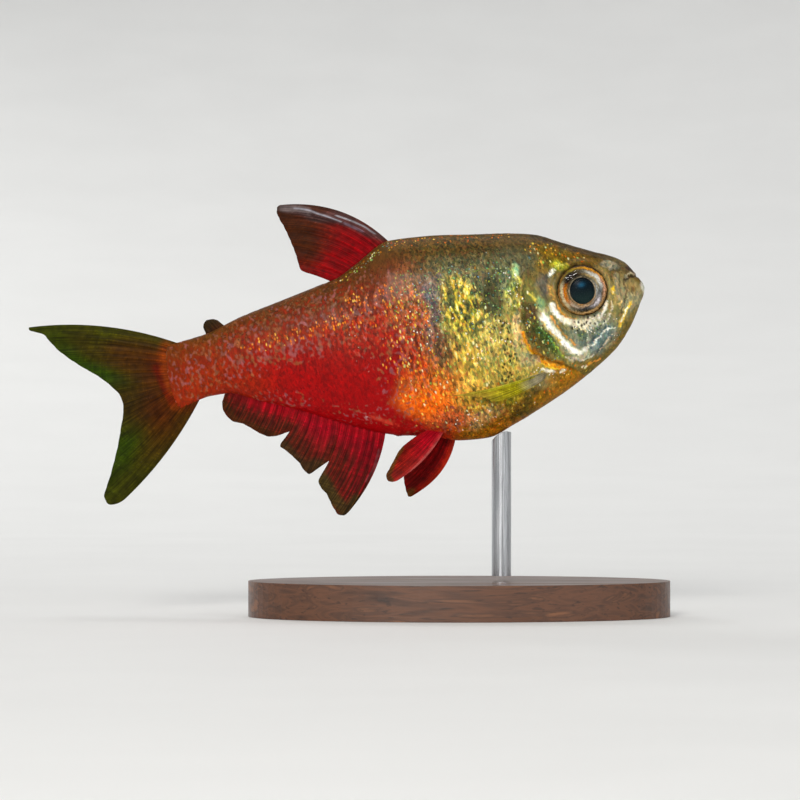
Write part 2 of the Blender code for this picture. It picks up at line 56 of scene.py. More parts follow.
MM = 0.001
BODY = "root"
SIDES = ((-1, "right"), (1, "left"))
PHOTO_PIXELS = 800
MM_PER_PIXEL = 30.0 / 487.0
TAIL_BASE_PIXEL = (167.0, 381.0)
VIEW_DISTANCE = 246.0
VIEW_MIDDLE = (13.9, -3.9)
NOISE_PRIMES = np.array((73856093, 19349663, 83492791))
NOISE_LEVELS = 0xFFFF
FAR_OFF = 1e9


def smooth_step(low: float, high: float, value: Array) -> Array:
    """Eases from 0 at low to 1 at high.

    Args:
        low: where the step starts.
        high: where it ends.
        value: the values to ease.

    Returns:
        The eased values, from 0 to 1.
    """
    share = np.clip((np.asarray(value, float) - low) / (high - low), 0.0, 1.0)
    return share * share * (3 - 2 * share)


def smooth_curve(points: tuple, at: Array) -> Array:
    """Reads a curve that runs smoothly through its points and never past them.

    Args:
        points: (place, value) pairs, in rising order of place.
        at: the places to read.

    Returns:
        The curve's values there.
    """
    xs = np.array([p[0] for p in points], float)
    values = np.array([p[1] for p in points], float)
    rises = np.diff(values) / np.diff(xs)
    before, after = rises[:-1], rises[1:]
    same_way = before * after > 0
    total = np.where(same_way, before + after, 1.0)
    inner = np.where(same_way, 2 * before * after / total, 0.0)
    slopes = np.concatenate(([rises[0]], inner, [rises[-1]]))
    at = np.clip(np.asarray(at, float), xs[0], xs[-1])
    i = np.clip(np.searchsorted(xs, at, side="right") - 1, 0, len(rises) - 1)
    span = xs[i + 1] - xs[i]
    t = (at - xs[i]) / span
    return (values[i] * (1 + 2 * t) * (1 - t) ** 2 + values[i + 1] * t * t * (3 - 2 * t)
            + span * (slopes[i] * t * (1 - t) ** 2 + slopes[i + 1] * t * t * (t - 1)))


def lattice_noise(points: Array, size: float, seed: int) -> Array:
    """Smooth noise in space.

    Args:
        points: places in millimetres, one row each.
        size: how far apart the noise's humps are.
        seed: picks one of many such noises.

    Returns:
        A value from 0 to 1 at each place.
    """
    scaled = points / size
    cell = np.floor(scaled).astype(np.int64)
    share = scaled - cell
    share = share * share * (3 - 2 * share)
    total = np.zeros(len(points))
    for corner in itertools.product((0, 1), repeat=3):
        parts = (cell + np.array(corner)) * NOISE_PRIMES
        code = parts[:, 0] ^ parts[:, 1] ^ parts[:, 2] ^ (seed * 2654435 + 97)
        code = (code ^ (code >> 13)) * 1274126177 & 0x7FFFFFFF
        code = (code ^ (code >> 16)) & NOISE_LEVELS
        weight = np.prod(np.where(np.array(corner), share, 1 - share), axis=1)
        total += weight * code / NOISE_LEVELS
    return total


def waves(points: Array, *layers: tuple) -> Array:
    """Adds up noises that swing round 0, each given as its height, its size and its seed."""
    return sum(height * (lattice_noise(points, size, seed) - 0.5) for height, size, seed in layers)


def linear(red: float, green: float, blue: float) -> Array:
    """Turns a colour as seen on a screen, from 0 to 255, into linear light."""
    value = np.array([red, green, blue], float) / 255
    return np.where(value <= 0.04045, value / 12.92, ((value + 0.055) / 1.055) ** 2.4)


def blend(colour: Array, shade: Array | tuple, share: Array) -> None:
    """Moves rows of linear colour towards a shade, by a share of the way a row.

    Args:
        colour: the rows, which change in place.
        shade: linear colours, or one colour as seen on a screen as a tuple.
        share: how far each row goes, from 0 to 1.
    """
    target = linear(*shade) if isinstance(shade, tuple) else shade
    colour += (target - colour) * share.reshape(-1, 1)


def hump(away: Array, width: float) -> Array:
    """A smooth hump: 1 where away is 0, and next to nothing two widths off."""
    return np.exp(-(away / width) ** 2)


def spun(profile: list, steps: int) -> bmesh.types.BMesh:
    """Turns a profile of (radius, height) points, the first on the axis, all the way round z."""
    bm = bmesh.new()
    verts = [bm.verts.new((radius, 0.0, height)) for radius, height in profile]
    edges = [bm.edges.new(pair) for pair in zip(verts, verts[1:])]
    bmesh.ops.spin(bm, geom=verts + edges, cent=(0, 0, 0), axis=(0, 0, 1), angle=2 * math.pi, steps=steps,
                   use_merge=True)
    bmesh.ops.remove_doubles(bm, verts=bm.verts[:], dist=1e-5)
    return bm


def way_along(points: Array) -> Array:
    """How far each point of a line is from the first, along the line."""
    return np.concatenate(([0.0], np.cumsum(np.linalg.norm(np.diff(points, axis=0), axis=1))))


def as_seen(place: Array) -> tuple:
    """Where places show from straight beside the fish, as x and z: the near side looks larger."""
    nearer = 1 + np.abs(place[:, 1]) / VIEW_DISTANCE
    return (VIEW_MIDDLE[0] + (place[:, 0] - VIEW_MIDDLE[0]) * nearer,
            VIEW_MIDDLE[1] + (place[:, 2] - VIEW_MIDDLE[1]) * nearer)


@dataclass(frozen=True)
class Pose:
    """How the straight fish is bent and held over its stand."""

    bend_from: float = 15.0
    bend_per_mm2: float = 0.0058
    pitch_deg: float = 11.1
    origin: tuple = (-18.0, 0.0, 14.5)

    def to_world(self, points: Array) -> Array:
        """Bends, pitches and places points.

        Args:
            points: rows of x, y and z in the fish's frame, in millimetres.

        Returns:
            The points in the world, in metres.
        """
        x, y, z = points[:, 0], points[:, 1], points[:, 2]
        behind = np.maximum(0.0, self.bend_from - x)
        y = y + self.bend_per_mm2 * behind ** 2
        turn = math.radians(self.pitch_deg)
        along = x * math.cos(turn) - z * math.sin(turn)
        up = x * math.sin(turn) + z * math.cos(turn)
        return (np.stack([along, y, up], axis=1) + np.array(self.origin)) * MM


@dataclass(frozen=True)
class Body:
    """The fish's body without its fins: its outlines from the side and half its width from above."""

    length: float = 30.0
    back: tuple = ((0.0, 2.2), (1.0, 2.25), (2.8, 2.42), (5.0, 3.0), (7.5, 3.48), (10.3, 4.0), (11.4, 4.2),
                   (12.8, 4.86), (15.1, 5.88), (17.4, 5.72), (20.2, 5.27), (22.4, 4.9), (24.0, 4.5),
                   (25.5, 3.72), (27.3, 2.8), (28.5, 2.22), (29.05, 1.81), (29.4, 1.34), (29.6, 0.94),
                   (29.78, 0.6), (29.93, 0.3), (30.0, 0.02))
    belly: tuple = ((0.0, -2.0), (1.0, -1.72), (2.4, -1.45), (3.4, -1.48), (5.4, -2.36), (7.7, -3.4),
                    (10.0, -4.6), (12.7, -5.85), (15.4, -6.55), (17.0, -7.1), (18.8, -7.27), (20.4, -6.8),
                    (22.5, -6.02), (24.2, -5.3), (25.9, -4.42), (27.6, -3.35), (28.9, -1.95), (29.6, -0.85),
                    (29.88, -0.4), (30.0, -0.02))
    half_width: tuple = ((0.0, 0.14), (0.6, 0.36), (1.4, 0.62), (3.0, 0.88), (5.0, 1.12), (7.5, 1.42),
                         (10.0, 1.74), (12.5, 2.02), (15.0, 2.25), (18.0, 2.42), (20.5, 2.42), (22.5, 2.32),
                         (24.5, 2.16), (26.2, 1.95), (27.5, 1.62), (28.7, 1.2), (29.5, 0.8), (29.85, 0.45),
                         (30.0, 0.02))
    widest_share: float = 0.55
    keel_power: float = 1.2
    tail_end_rounding: float = 0.45
    inset: float = 0.03

    def point(self, x: Array, angle: Array) -> Array:
        """Finds points of the body's surface.

        Args:
            x: places along the fish.
            angle: 0 at the back, a quarter turn on the left side, a half turn at the belly.

        Returns:
            Rows of x, y and z.
        """
        back = smooth_curve(self.back, x)
        belly = smooth_curve(self.belly, x)
        width = smooth_curve(self.half_width, x)
        end = np.minimum(x / self.tail_end_rounding, 1.0)
        rounding = np.sqrt(np.maximum(0.0, 1 - (1 - end) ** 2))
        widest = belly + self.widest_share * (back - belly)
        upward = np.cos(angle)
        sideways = np.sin(angle)
        above = upward >= 0
        height = np.where(above, back - widest, widest - belly) * rounding
        share = np.where(above, np.abs(sideways), np.abs(sideways) ** self.keel_power)
        y = np.copysign(share * width * rounding, sideways)
        return np.stack([x, y, widest + height * upward], axis=1)

    def outward(self, x: Array, angle: Array) -> Array:
        """Finds which way the surface looks.

        Args:
            x: places along the fish.
            angle: places round it.

        Returns:
            Rows of unit vectors.
        """
        nudge = 0.02
        low = np.clip(x - nudge, 0.05, self.length - 0.05)
        high = np.clip(x + nudge, low + 0.01, self.length)
        along = self.point(high, angle) - self.point(low, angle)
        around = self.point(x, angle + nudge) - self.point(x, angle - nudge)
        normal = np.cross(along, around)
        size = np.linalg.norm(normal, axis=1, keepdims=True)
        normal = normal / np.maximum(size, 1e-9)
        ends = size[:, 0] < 1e-7
        normal[ends] = (1.0, 0.0, 0.0)
        centre = self.point(x, angle) - np.stack([x, 0 * x, 0 * x], axis=1)
        facing = np.sign(np.sum(normal[:, 1:] * centre[:, 1:], axis=1))
        return normal * np.where(facing == 0, 1.0, facing)[:, None]

    def height_share(self, x: Array, z: Array) -> Array:
        """How far up the body a place is, from 0 at the belly's edge to 1 at the back's."""
        back = smooth_curve(self.back, x)
        belly = smooth_curve(self.belly, x)
        return np.clip((z - belly) / np.maximum(back - belly, 0.05), 0.0, 1.0)


@dataclass(frozen=True)
class Oval:
    """A soft-edged oval on the fish's side, as (x, z) with its half sizes and its turn."""

    x: float
    z: float
    half_length: float
    half_height: float
    turn_deg: float = 0.0
    soft: float = 0.5

    def mask(self, x: Array, z: Array) -> Array:
        """How much each place lies in the oval, from 0 to 1."""
        turn = math.radians(self.turn_deg)
        along = (x - self.x) * math.cos(turn) + (z - self.z) * math.sin(turn)
        across = (z - self.z) * math.cos(turn) - (x - self.x) * math.sin(turn)
        away = np.hypot(along / self.half_length, across / self.half_height)
        return 1 - smooth_step(1 - self.soft, 1 + self.soft, away)


@dataclass(frozen=True)
class Stroke:
    """A soft-edged stroke along a line of (x, z) points on the fish's side."""

    points: tuple
    width: float
    soft: float = 0.5

    def distance(self, x: Array, z: Array) -> Array:
        """How far each place is from the line."""
        nearest = np.full(len(x), FAR_OFF)
        for (x0, z0), (x1, z1) in zip(self.points, self.points[1:]):
            run_x, run_z = x1 - x0, z1 - z0
            share = np.clip(((x - x0) * run_x + (z - z0) * run_z) / (run_x ** 2 + run_z ** 2), 0, 1)
            nearest = np.minimum(nearest, np.hypot(x - x0 - share * run_x, z - z0 - share * run_z))
        return nearest

    def mask(self, x: Array, z: Array) -> Array:
        """How much each place lies in the stroke, from 0 to 1."""
        half = self.width / 2
        return 1 - smooth_step(half * (1 - self.soft), half * (1 + self.soft), self.distance(x, z))


@dataclass(frozen=True)
class Paint:
    """One colour, as seen on a screen from 0 to 255, laid on in one shape."""

    colour: tuple
    shape: Oval | Stroke
    strength: float

    @property
    def looseness(self) -> float:
        """How freely the shape wanders: thin strokes stay on their lines."""
        return 1.0 if isinstance(self.shape, Oval) else min(1.0, 1.5 * self.shape.width)


def shape_of(first: object, *rest: float) -> Oval | Stroke:
    """Makes a stroke of points, a width and a softness, or an oval of its numbers."""
    return (Stroke if isinstance(first, tuple) else Oval)(first, *rest)


def paints(*rows: tuple) -> tuple:
    """Makes paints of rows, each a screen colour, a strength, and what shape_of takes."""
    return tuple(Paint(colour, shape_of(*shape), strength) for colour, strength, *shape in rows)


@dataclass(frozen=True)
class Ramp:
    """Colours from the belly's edge, at 0, to the back's, at 1."""

    stops: tuple

    def colour(self, height: Array) -> Array:
        """The ramp's colours in linear light at these heights."""
        places = [place for place, _ in self.stops]
        shades = np.array([linear(*shade) for _, shade in self.stops])
        return np.stack([np.interp(height, places, shades[:, i]) for i in range(3)], axis=1)


class Fleck(Enum):
    """The small marks that lie scattered over the skin."""

    GOLD = "tall gold leaves"
    SPARKLE = "blue and green glints"
    DARK = "fine dark specks"
    PORES = "larger black dots"
    ORANGE = "gold and orange grains"
    # painted highlights: sparse white glints laid into the colour
    PAINTED_GLINT = "white glints"
    FOIL = "how like crumpled foil the skin is"
    # painted light and shade: the bright gleam and dark gaps of crumpled foil
    FOIL_GLEAM = "long bright streaks with dark gaps"
    GRAIN = "how strongly neighbouring flakes differ in hue"
    LILAC = "grey-lilac patches on red"


EYE_CENTRE = (26.08, 0.5)
GILL_EDGE = ((23.25, 2.7), (22.69, 2.07), (22.3, 1.01), (22.06, -0.19), (21.98, -1.25), (22.21, -2.2),
             (22.75, -2.8), (23.35, -3.2), (24.39, -3.8), (25.07, -4.37))
PREOPERCLE = ((23.6, 1.3), (23.55, 0.4), (23.5, -0.3), (23.69, -0.93), (23.98, -1.55), (24.38, -2.39),
              (24.89, -2.98), (25.5, -3.3))
MOUTH = ((29.8, 0.76), (29.55, 0.82), (29.2, 0.84), (28.92, 0.76), (28.78, 0.25), (28.8, -0.06),
         (28.6, -0.7), (28.3, -1.3))
MAXILLA = ((28.42, 1.15), (28.28, 0.5), (28.25, 0.0), (28.32, -0.4), (28.5, -0.85))


# Over the body, in the order they are laid on
BODY_PAINTS = paints(
    # orange glow where the red flank meets the gold belly, and the rear bar's blue blotch
    ((206, 112, 40), 0.85, 16.3, -3.9, 2.1, 1.9, -15, 0.6),
    ((62, 84, 142), 0.6, 16.85, 1.3, 0.32, 1.1, -6, 0.7),
    ((246, 108, 8), 0.95, 15.3, -4.4, 1.4, 1.0, -10, 0.6),
    ((166, 86, 54), 0.7, 16.9, -5.7, 1.7, 0.7, -5, 0.6),
    ((150, 18, 16), 0.9, 14.4, -6.2, 1.8, 0.6, -10, 0.6),
    ((150, 78, 50), 0.6, 15.3, 0.8, 0.9, 2.2, -6, 0.6), ((108, 76, 44), 0.75, 15.7, 2.6, 1.5, 1.3, 0, 0.6),
    # the rear dark bar
    ((88, 80, 84), 0.95, 17.0, 0.9, 0.55, 2.2, -4), ((116, 78, 56), 0.8, 17.2, -1.6, 0.7, 1.3, 0, 0.6),
    # the gold patch between the bars and the cream flank below it
    ((136, 132, 66), 0.8, 18.6, 0.6, 0.95, 2.1, 4, 0.4), ((180, 168, 100), 0.8, 20.0, -1.7, 1.5, 1.2),
    ((162, 150, 76), 0.8, 20.2, -3.5, 2.1, 1.0), ((206, 166, 74), 0.8, 18.4, -2.9, 0.9, 1.9, 0, 0.6),
    ((184, 146, 54), 0.8, 18.5, -4.8, 1.1, 0.7, 0, 0.6),
    ((190, 182, 96), 0.8, 18.7, -0.9, 0.9, 0.8, 0, 0.6), ((150, 138, 30), 0.8, 20.4, -4.9, 1.7, 0.45, 8),
    ((178, 146, 100), 0.7, 18.8, -5.9, 0.9, 0.5, 0, 0.6),
    ((82, 72, 22), 0.85, 21.7, -5.75, 1.4, 0.5, 22, 0.6),
    ((156, 98, 14), 0.8, 19.8, -6.8, 2.4, 0.35, 6, 0.6), ((150, 106, 18), 0.9, 23.6, -5.15, 1.8, 0.5, 32),
    ((144, 134, 88), 0.7, 22.3, -4.5, 0.8, 0.6, 0, 0.6),
    # the front dark bar and the grey-olive back above it
    ((78, 80, 58), 0.95, 20.75, 1.55, 0.85, 1.9, -8, 0.35),
    ((54, 56, 36), 0.75, 20.7, 1.6, 0.5, 1.1, -8, 0.6), ((92, 104, 82), 0.6, 21.5, 2.2, 0.45, 0.9),
    ((88, 88, 66), 0.7, 20.6, 3.5, 3.4, 0.6, -8, 0.6), ((104, 106, 82), 0.5, 18.6, 3.2, 1.2, 0.5, 0, 0.6),
    # the bright line that runs down behind the gill cover
    ((176, 192, 112), 0.9, ((22.25, 2.6), (22.08, 2.0), (22.05, 1.2), (21.95, 0.3)), 0.5),
    ((206, 184, 134), 0.85, ((21.95, 0.2), (21.75, -0.5), (21.55, -1.1), (21.7, -1.9)), 0.55),
    ((92, 168, 160), 0.5, 22.3, 2.5, 0.22, 0.5, 0, 0.6),
    ((244, 242, 226), 0.9, ((22.2, 2.35), (22.08, 1.85)), 0.11),
    ((214, 214, 70), 0.8, ((22.45, 1.9), (22.25, 1.2), (22.02, 0.5)), 0.16),
    ((150, 148, 118), 0.7, 21.9, -2.8, 0.5, 0.7),
)

# Over the head
HEAD_PAINTS = paints(
    # the crown and the nape
    ((110, 86, 16), 0.85, 25.0, 3.15, 1.6, 0.5, -25), ((104, 78, 22), 0.8, 26.8, 2.4, 1.0, 0.32, -27),
    ((64, 50, 24), 0.85, ((22.6, 4.75), (24.0, 4.3), (25.6, 3.55), (27.4, 2.65), (28.9, 1.85)), 0.5),
    ((88, 86, 62), 0.85, 23.2, 3.2, 0.7, 0.95), ((112, 96, 42), 0.8, 24.1, 2.6, 0.5, 0.5),
    ((168, 170, 46), 0.9, 25.05, 2.36, 0.55, 0.28, -22),
    ((228, 224, 120), 0.8, ((24.82, 2.32), (25.1, 2.5), (25.25, 2.3)), 0.1),
    ((214, 156, 60), 0.7, ((24.0, 2.4), (24.14, 3.0)), 0.1), ((86, 84, 78), 0.95, 24.0, 1.3, 0.5, 0.66),
    ((106, 110, 56), 0.8, 22.9, 0.7, 0.5, 1.1),
    # the dark gill cover with its green front
    ((72, 66, 30), 0.95, 22.9, -1.2, 0.75, 1.75, 12, 0.35),
    ((78, 56, 46), 0.7, 22.95, -0.2, 0.4, 0.55, 12, 0.6), ((50, 76, 34), 0.85, 23.5, -2.1, 0.28, 1.3, 25),
    ((96, 140, 62), 0.7, ((23.2, -1.2), (23.6, -2.0), (24.1, -2.9), (24.4, -3.3)), 0.12, 0.6),
    ((198, 206, 66), 0.8, ((23.75, -2.2), (24.05, -2.75), (24.3, -3.2)), 0.06),
    ((222, 196, 76), 0.8, ((22.9, 0.95), (23.05, 0.7), (23.2, 0.5)), 0.12),
    ((120, 160, 116), 0.8, 23.52, 0.3, 0.22, 0.35, 0, 0.6),
    # behind and below the eye
    ((150, 120, 60), 0.8, 24.4, 0.75, 0.2, 0.8, 4),
    ((216, 170, 80), 0.8, ((24.35, 1.2), (24.3, 0.6), (24.45, 0.05)), 0.07),
    ((122, 132, 122), 0.9, 26.2, -2.2, 1.6, 1.2, 15, 0.4),
    ((84, 100, 82), 0.95, 25.58, -2.2, 0.42, 0.3, -20, 0.4),
    ((104, 128, 132), 0.85, 26.7, -2.75, 1.0, 0.4, 35),
    ((58, 84, 94), 0.85, ((26.1, -2.75), (26.75, -2.3), (27.3, -2.0)), 0.16),
    ((54, 78, 84), 0.8, ((26.3, -3.35), (26.9, -2.9), (27.3, -2.6)), 0.12, 0.6),
    # the snout, its nostril and the strip of bone beside the mouth
    ((164, 146, 92), 0.85, 27.65, 0.5, 0.5, 1.3, 5), ((98, 86, 56), 0.85, 28.8, 1.6, 0.9, 0.5, -35),
    ((70, 58, 38), 0.6, 28.22, 1.74, 0.66, 0.34, -21, 0.2),
    ((134, 130, 112), 0.95, 28.2, 1.75, 0.55, 0.25, -21, 0.25), ((96, 86, 66), 0.7, 28.62, 1.6, 0.16, 0.14),
    ((58, 44, 44), 0.9, 29.36, 1.31, 0.26, 0.17, -40), ((150, 138, 108), 0.85, MAXILLA, 0.22),
    ((96, 88, 60), 0.6, ((28.66, 0.9), (28.52, 0.4), (28.5, -0.2)), 0.1, 0.6),
    ((100, 88, 58), 0.5, ((28.16, 1.1), (28.0, 0.5), (28.0, -0.2)), 0.12, 0.6),
    # the lower jaw, its pale tip and the lips
    ((154, 148, 116), 0.9, 29.15, -0.8, 0.7, 1.5, 15),
    ((136, 112, 64), 0.8, 29.15, 0.2, 0.34, 0.5, 10, 0.6),
    ((84, 62, 30), 0.6, 29.2, 0.05, 0.1, 0.16, 10, 0.6),
    ((116, 98, 30), 0.85, ((25.2, -4.6), (26.4, -4.15), (27.4, -3.5), (28.1, -2.95), (28.8, -2.1),
     (29.3, -1.4)), 0.6), ((204, 206, 194), 0.95, 29.88, 0.02, 0.16, 0.38),
    ((176, 168, 150), 0.65, ((29.0, 0.92), (29.3, 1.0), (29.6, 0.95)), 0.12, 0.7),
    ((80, 66, 52), 0.5, ((28.95, 1.05), (29.25, 1.14), (29.5, 1.06)), 0.06, 0.6),
    ((46, 36, 24), 0.9, MOUTH[:4], 0.12, 0.6), ((66, 56, 40), 0.8, MOUTH[3:], 0.11, 0.7),
    # the white band in front of the gill cover, and the white crescent below the eye
    ((170, 178, 142), 0.85, PREOPERCLE[2:], 0.6, 0.4),
    ((216, 176, 60), 0.85, ((23.35, -0.3), (23.5, -0.9), (23.85, -1.7), (24.2, -2.45)), 0.1),
    ((255, 252, 242), 0.9, ((23.5, -0.45), (23.78, -1.0), (24.1, -1.65), (24.45, -2.35), (24.9, -2.95),
     (25.3, -3.2)), 0.36, 0.4),
    ((226, 232, 214), 0.8, ((24.4, -3.2), (24.86, -3.55), (25.47, -3.65), (26.1, -3.5)), 0.08),
    ((250, 246, 236), 0.9, 25.7, -3.05, 0.24, 0.14, 20),
    ((232, 160, 62), 0.85, ((23.9, -0.55), (24.3, -1.35), (24.75, -2.15), (25.1, -2.65)), 0.08),
    ((96, 112, 96), 0.7, ((24.2, -0.85), (24.6, -1.55), (25.0, -2.2)), 0.14, 0.6),
    ((255, 250, 236), 0.95, ((24.08, 0.05), (24.2, -0.4), (24.5, -0.74), (24.8, -1.0)), 0.3, 0.4),
    ((236, 228, 204), 0.9, ((24.8, -0.98), (25.1, -1.2), (25.5, -1.42), (26.0, -1.5), (26.5, -1.45),
     (26.9, -1.3)), 0.42, 0.4), ((206, 200, 180), 0.8, ((25.6, -1.75), (26.2, -1.85), (26.7, -1.7)), 0.22),
    ((220, 150, 56), 0.8, ((24.35, 0.0), (24.6, -0.48), (25.0, -0.86), (25.5, -1.12)), 0.08),
    ((240, 222, 160), 0.85, ((25.16, -1.56), (25.54, -1.77), (25.97, -2.07)), 0.06),
    # thin blue and white lines over the cheek, and bright spots before the eye
    ((236, 238, 230), 0.8, ((26.07, -3.0), (26.6, -2.6), (27.1, -2.15), (27.72, -2.06)), 0.07),
    ((238, 214, 190), 0.8, ((26.5, -3.3), (27.0, -2.9), (27.4, -2.5)), 0.07),
    ((244, 240, 230), 0.85, ((26.9, -1.3), (27.22, -1.05), (27.37, -0.8), (27.54, -0.45)), 0.13, 0.4),
    ((232, 226, 214), 0.8, ((27.0, -1.75), (27.4, -1.5), (27.65, -1.15)), 0.08),
    ((236, 196, 70), 0.95, ((28.98, -0.78), (28.6, -1.25), (28.3, -1.65), (28.0, -2.0)), 0.2, 0.4),
    ((255, 250, 226), 0.95, ((28.75, -1.02), (28.4, -1.5), (28.15, -1.85)), 0.09, 0.4),
    ((240, 196, 40), 0.95, 28.02, 0.18, 0.09, 0.27, -8, 0.4),
    ((255, 236, 180), 0.9, 28.03, 0.1, 0.05, 0.12, 0, 0.4),
    ((232, 196, 130), 0.9, ((28.36, -0.5), (28.2, -0.78)), 0.12, 0.4),
    ((206, 206, 190), 0.7, ((27.8, -0.5), (27.75, -1.0)), 0.08),
    ((226, 150, 60), 0.85, ((25.6, -4.05), (25.95, -3.92), (26.5, -3.8)), 0.1),
    ((240, 230, 206), 0.85, ((25.22, -4.15), (25.55, -4.07)), 0.08),
    # a painted highlight: a white glint behind the eye
    ((255, 250, 236), 0.95, ((24.36, 1.9), (24.7, 2.14)), 0.15, 0.4),
    ((84, 170, 206), 0.9, 23.22, 3.15, 0.12, 0.2, 20),
)

# Over head and body, last of all
RIM_PAINTS = paints(
    # the orange rim of the gill cover, with painted white highlights under it
    ((150, 96, 20), 0.85, ((22.5, -2.45), (22.95, -3.05), (23.6, -3.5), (24.2, -3.62)), 0.3),
    ((214, 178, 140), 0.8, ((21.9, -0.3), (21.8, -0.95), (21.95, -1.6), (22.1, -2.1)), 0.16),
    ((228, 150, 24), 0.95, ((22.05, -1.3), (22.2, -1.9), (22.42, -2.5), (22.68, -2.95), (23.0, -3.37),
     (23.43, -3.66), (23.87, -3.89), (24.25, -3.89)), 0.19, 0.4),
    ((255, 214, 60), 0.9, ((22.24, -2.2), (22.52, -2.85), (22.9, -3.4), (23.4, -3.78),
     (23.8, -3.98)), 0.07), ((248, 246, 232), 0.85, ((22.8, -3.76), (23.1, -3.92), (23.45, -4.02)), 0.17),
    # painted highlights: white glints under the rim, here and at the end of the line above
    ((220, 226, 206), 0.8, ((23.9, -4.1), (24.2, -4.12)), 0.12),
    ((178, 176, 156), 0.75, ((24.7, -3.5), (25.2, -3.55), (25.6, -3.35)), 0.3),
    # an orange-pink line where the anal fin starts, and a painted white highlight beside it
    ((214, 70, 50), 0.7, ((12.0, -4.66), (12.6, -5.0), (13.3, -5.4)), 0.2, 0.6),
    # a painted highlight: a white glint
    ((255, 250, 250), 1.0, 11.9, -4.6, 0.09, 0.09, 0, 0.4),
)

# How thickly each fleck lies: a strength, then an oval or a stroke
FLECKS = {
    Fleck.GOLD: ((0.5, 18.9, 0.2, 1.8, 3.0), (0.7, 16.1, -3.0, 1.7, 2.6), (0.6, 15.4, 1.2, 1.1, 2.0),
        (0.3, 20.5, -3.1, 2.0, 1.6), (0.6, 17.8, -5.2, 1.6, 0.8), (0.9, 24.15, 2.7, 0.4, 0.5),
        (1.0, 25.1, 2.35, 0.6, 0.35, -20), (0.8, 23.1, 0.7, 0.4, 0.7), (1.0, 13.7, 4.95, 2.4, 0.25, 24),
        (0.5, 21.6, -5.2, 1.8, 0.8, 20), (0.5, 25.6, -4.0, 1.0, 0.3, 28), (0.8, 22.9, -1.4, 0.7, 2.0, 12),
        (0.8, 24.7, 3.2, 1.4, 0.5, -24), (0.5, 26.3, 2.55, 1.1, 0.35, -27), (0.4, 27.6, 0.0, 0.3, 1.0)),
    Fleck.SPARKLE: ((0.7, 19.0, 2.9, 3.0, 0.7, -8), (0.8, 20.8, 1.7, 1.1, 2.0, -8),
        (1.0, 17.0, 0.8, 0.7, 2.2, -4), (1.0, 22.2, 2.5, 0.4, 0.6), (0.85, 23.2, -1.6, 0.7, 1.9, 16),
        (0.5, 15.6, 1.6, 1.4, 2.2), (0.4, 26.6, -2.4, 1.3, 1.0), (0.5, 19.2, 0.3, 0.8, 1.6),
        (0.7, 13.9, 5.1, 1.8, 0.25, 25)),
    Fleck.DARK: ((1.0, 20.75, 1.6, 1.0, 2.0, -8), (0.8, 17.0, 0.8, 0.8, 2.4, -4),
        (0.7, 20.0, 3.8, 5.0, 1.6, -6), (0.8, 25.3, 3.0, 2.8, 1.2, -27), (0.4, 28.2, 1.7, 1.3, 0.9, -30),
        (0.4, 10.0, 3.3, 7.0, 0.8, 14), (0.9, 22.9, -1.2, 0.7, 2.0, 10), (0.6, 21.0, -5.8, 1.6, 0.8, 15)),
    Fleck.PORES: ((1.0, 20.95, -1.5, 0.5, 1.6, 8, 0.35), (1.0, 26.15, -1.6, 1.05, 0.5, 0, 0.3),
        (0.6, 20.6, -3.4, 0.5, 0.9), (0.6, 25.3, -3.5, 0.6, 0.25)),
    Fleck.ORANGE: ((1.0, 9.6, 1.35, 4.6, 0.45, 4), (1.0, 13.2, 1.9, 2.4, 1.2, 8),
        (0.9, 15.2, -1.8, 1.6, 3.4), (0.8, 16.6, -4.0, 1.3, 2.0), (0.5, 24.7, 3.35, 1.2, 0.4, -24),
        (0.3, 26.2, 2.7, 1.2, 0.3, -27), (0.5, 19.0, 5.3, 6.0, 0.3, -6), (0.5, 23.4, -4.9, 1.8, 0.5, 30)),
    # painted highlights: where the white glints lie
    Fleck.PAINTED_GLINT: ((0.5, 20.0, -1.8, 1.6, 1.8), (0.8, 26.6, -1.9, 1.4, 1.1), (0.5, 18.6, -6.0, 2.2, 0.6),
        (0.8, 22.0, 1.2, 0.5, 1.6), (0.5, 15.8, 0.4, 1.0, 2.4), (0.4, 18.6, 0.6, 1.0, 2.0),
        (0.9, 23.3, -4.0, 1.2, 0.3, -15), (0.15, 13.0, 0.5, 3.0, 2.5, 8)),
    Fleck.FOIL: ((1.0, 18.9, 0.7, 1.7, 2.2), (0.2, 20.0, -2.6, 2.2, 2.2), (0.45, 24.4, -1.7, 1.3, 2.2, -30),
        (0.45, 26.4, -2.1, 1.6, 1.3), (0.7, 25.0, 2.4, 1.3, 0.7, -25), (1.0, 22.1, 1.2, 0.6, 2.0),
        (0.8, 16.4, -0.5, 1.6, 4.2), (0.3, 20.0, 3.6, 5.0, 1.6), (0.6, 19.0, -5.4, 4.0, 1.6)),
    # painted light and shade: where the foil's gleaming streaks lie
    Fleck.FOIL_GLEAM: ((1.0, 18.7, 0.9, 1.15, 1.9, 6, 0.3), (0.6, 18.4, -1.6, 0.95, 1.9, 2),
        (0.35, 20.2, -2.0, 1.3, 1.5), (0.6, ((22.4, 2.0), (22.12, 1.1), (21.98, 0.3)), 0.5, 0.4)),
    Fleck.GRAIN: ((0.8, 18.6, -0.5, 4.6, 8.0, 0, 0.35), (0.5, 25.6, 0.0, 4.6, 8.0, 0, 0.35),
        (0.65, 12.8, 1.2, 3.6, 2.4, 10, 0.6), (0.35, 8.0, 0.5, 9.0, 4.5, 8)),
    Fleck.LILAC: ((1.0, 7.3, 0.45, 3.8, 0.8, 2), (0.85, 12.0, 1.2, 2.2, 1.0, 10),
        (0.75, 7.6, 2.2, 6.6, 1.0, 12), (0.6, 2.4, 0.3, 3.4, 1.7, 4), (0.6, 7.0, -2.5, 1.8, 0.4, -16),
        (0.45, 12.4, -4.6, 2.6, 0.6, -16), (0.8, 14.8, -1.6, 1.6, 4.0, -6),
        (0.4, 12.6, -0.4, 1.0, 1.2, 8, 0.6), (0.6, 17.0, -5.6, 1.6, 0.8)),
}


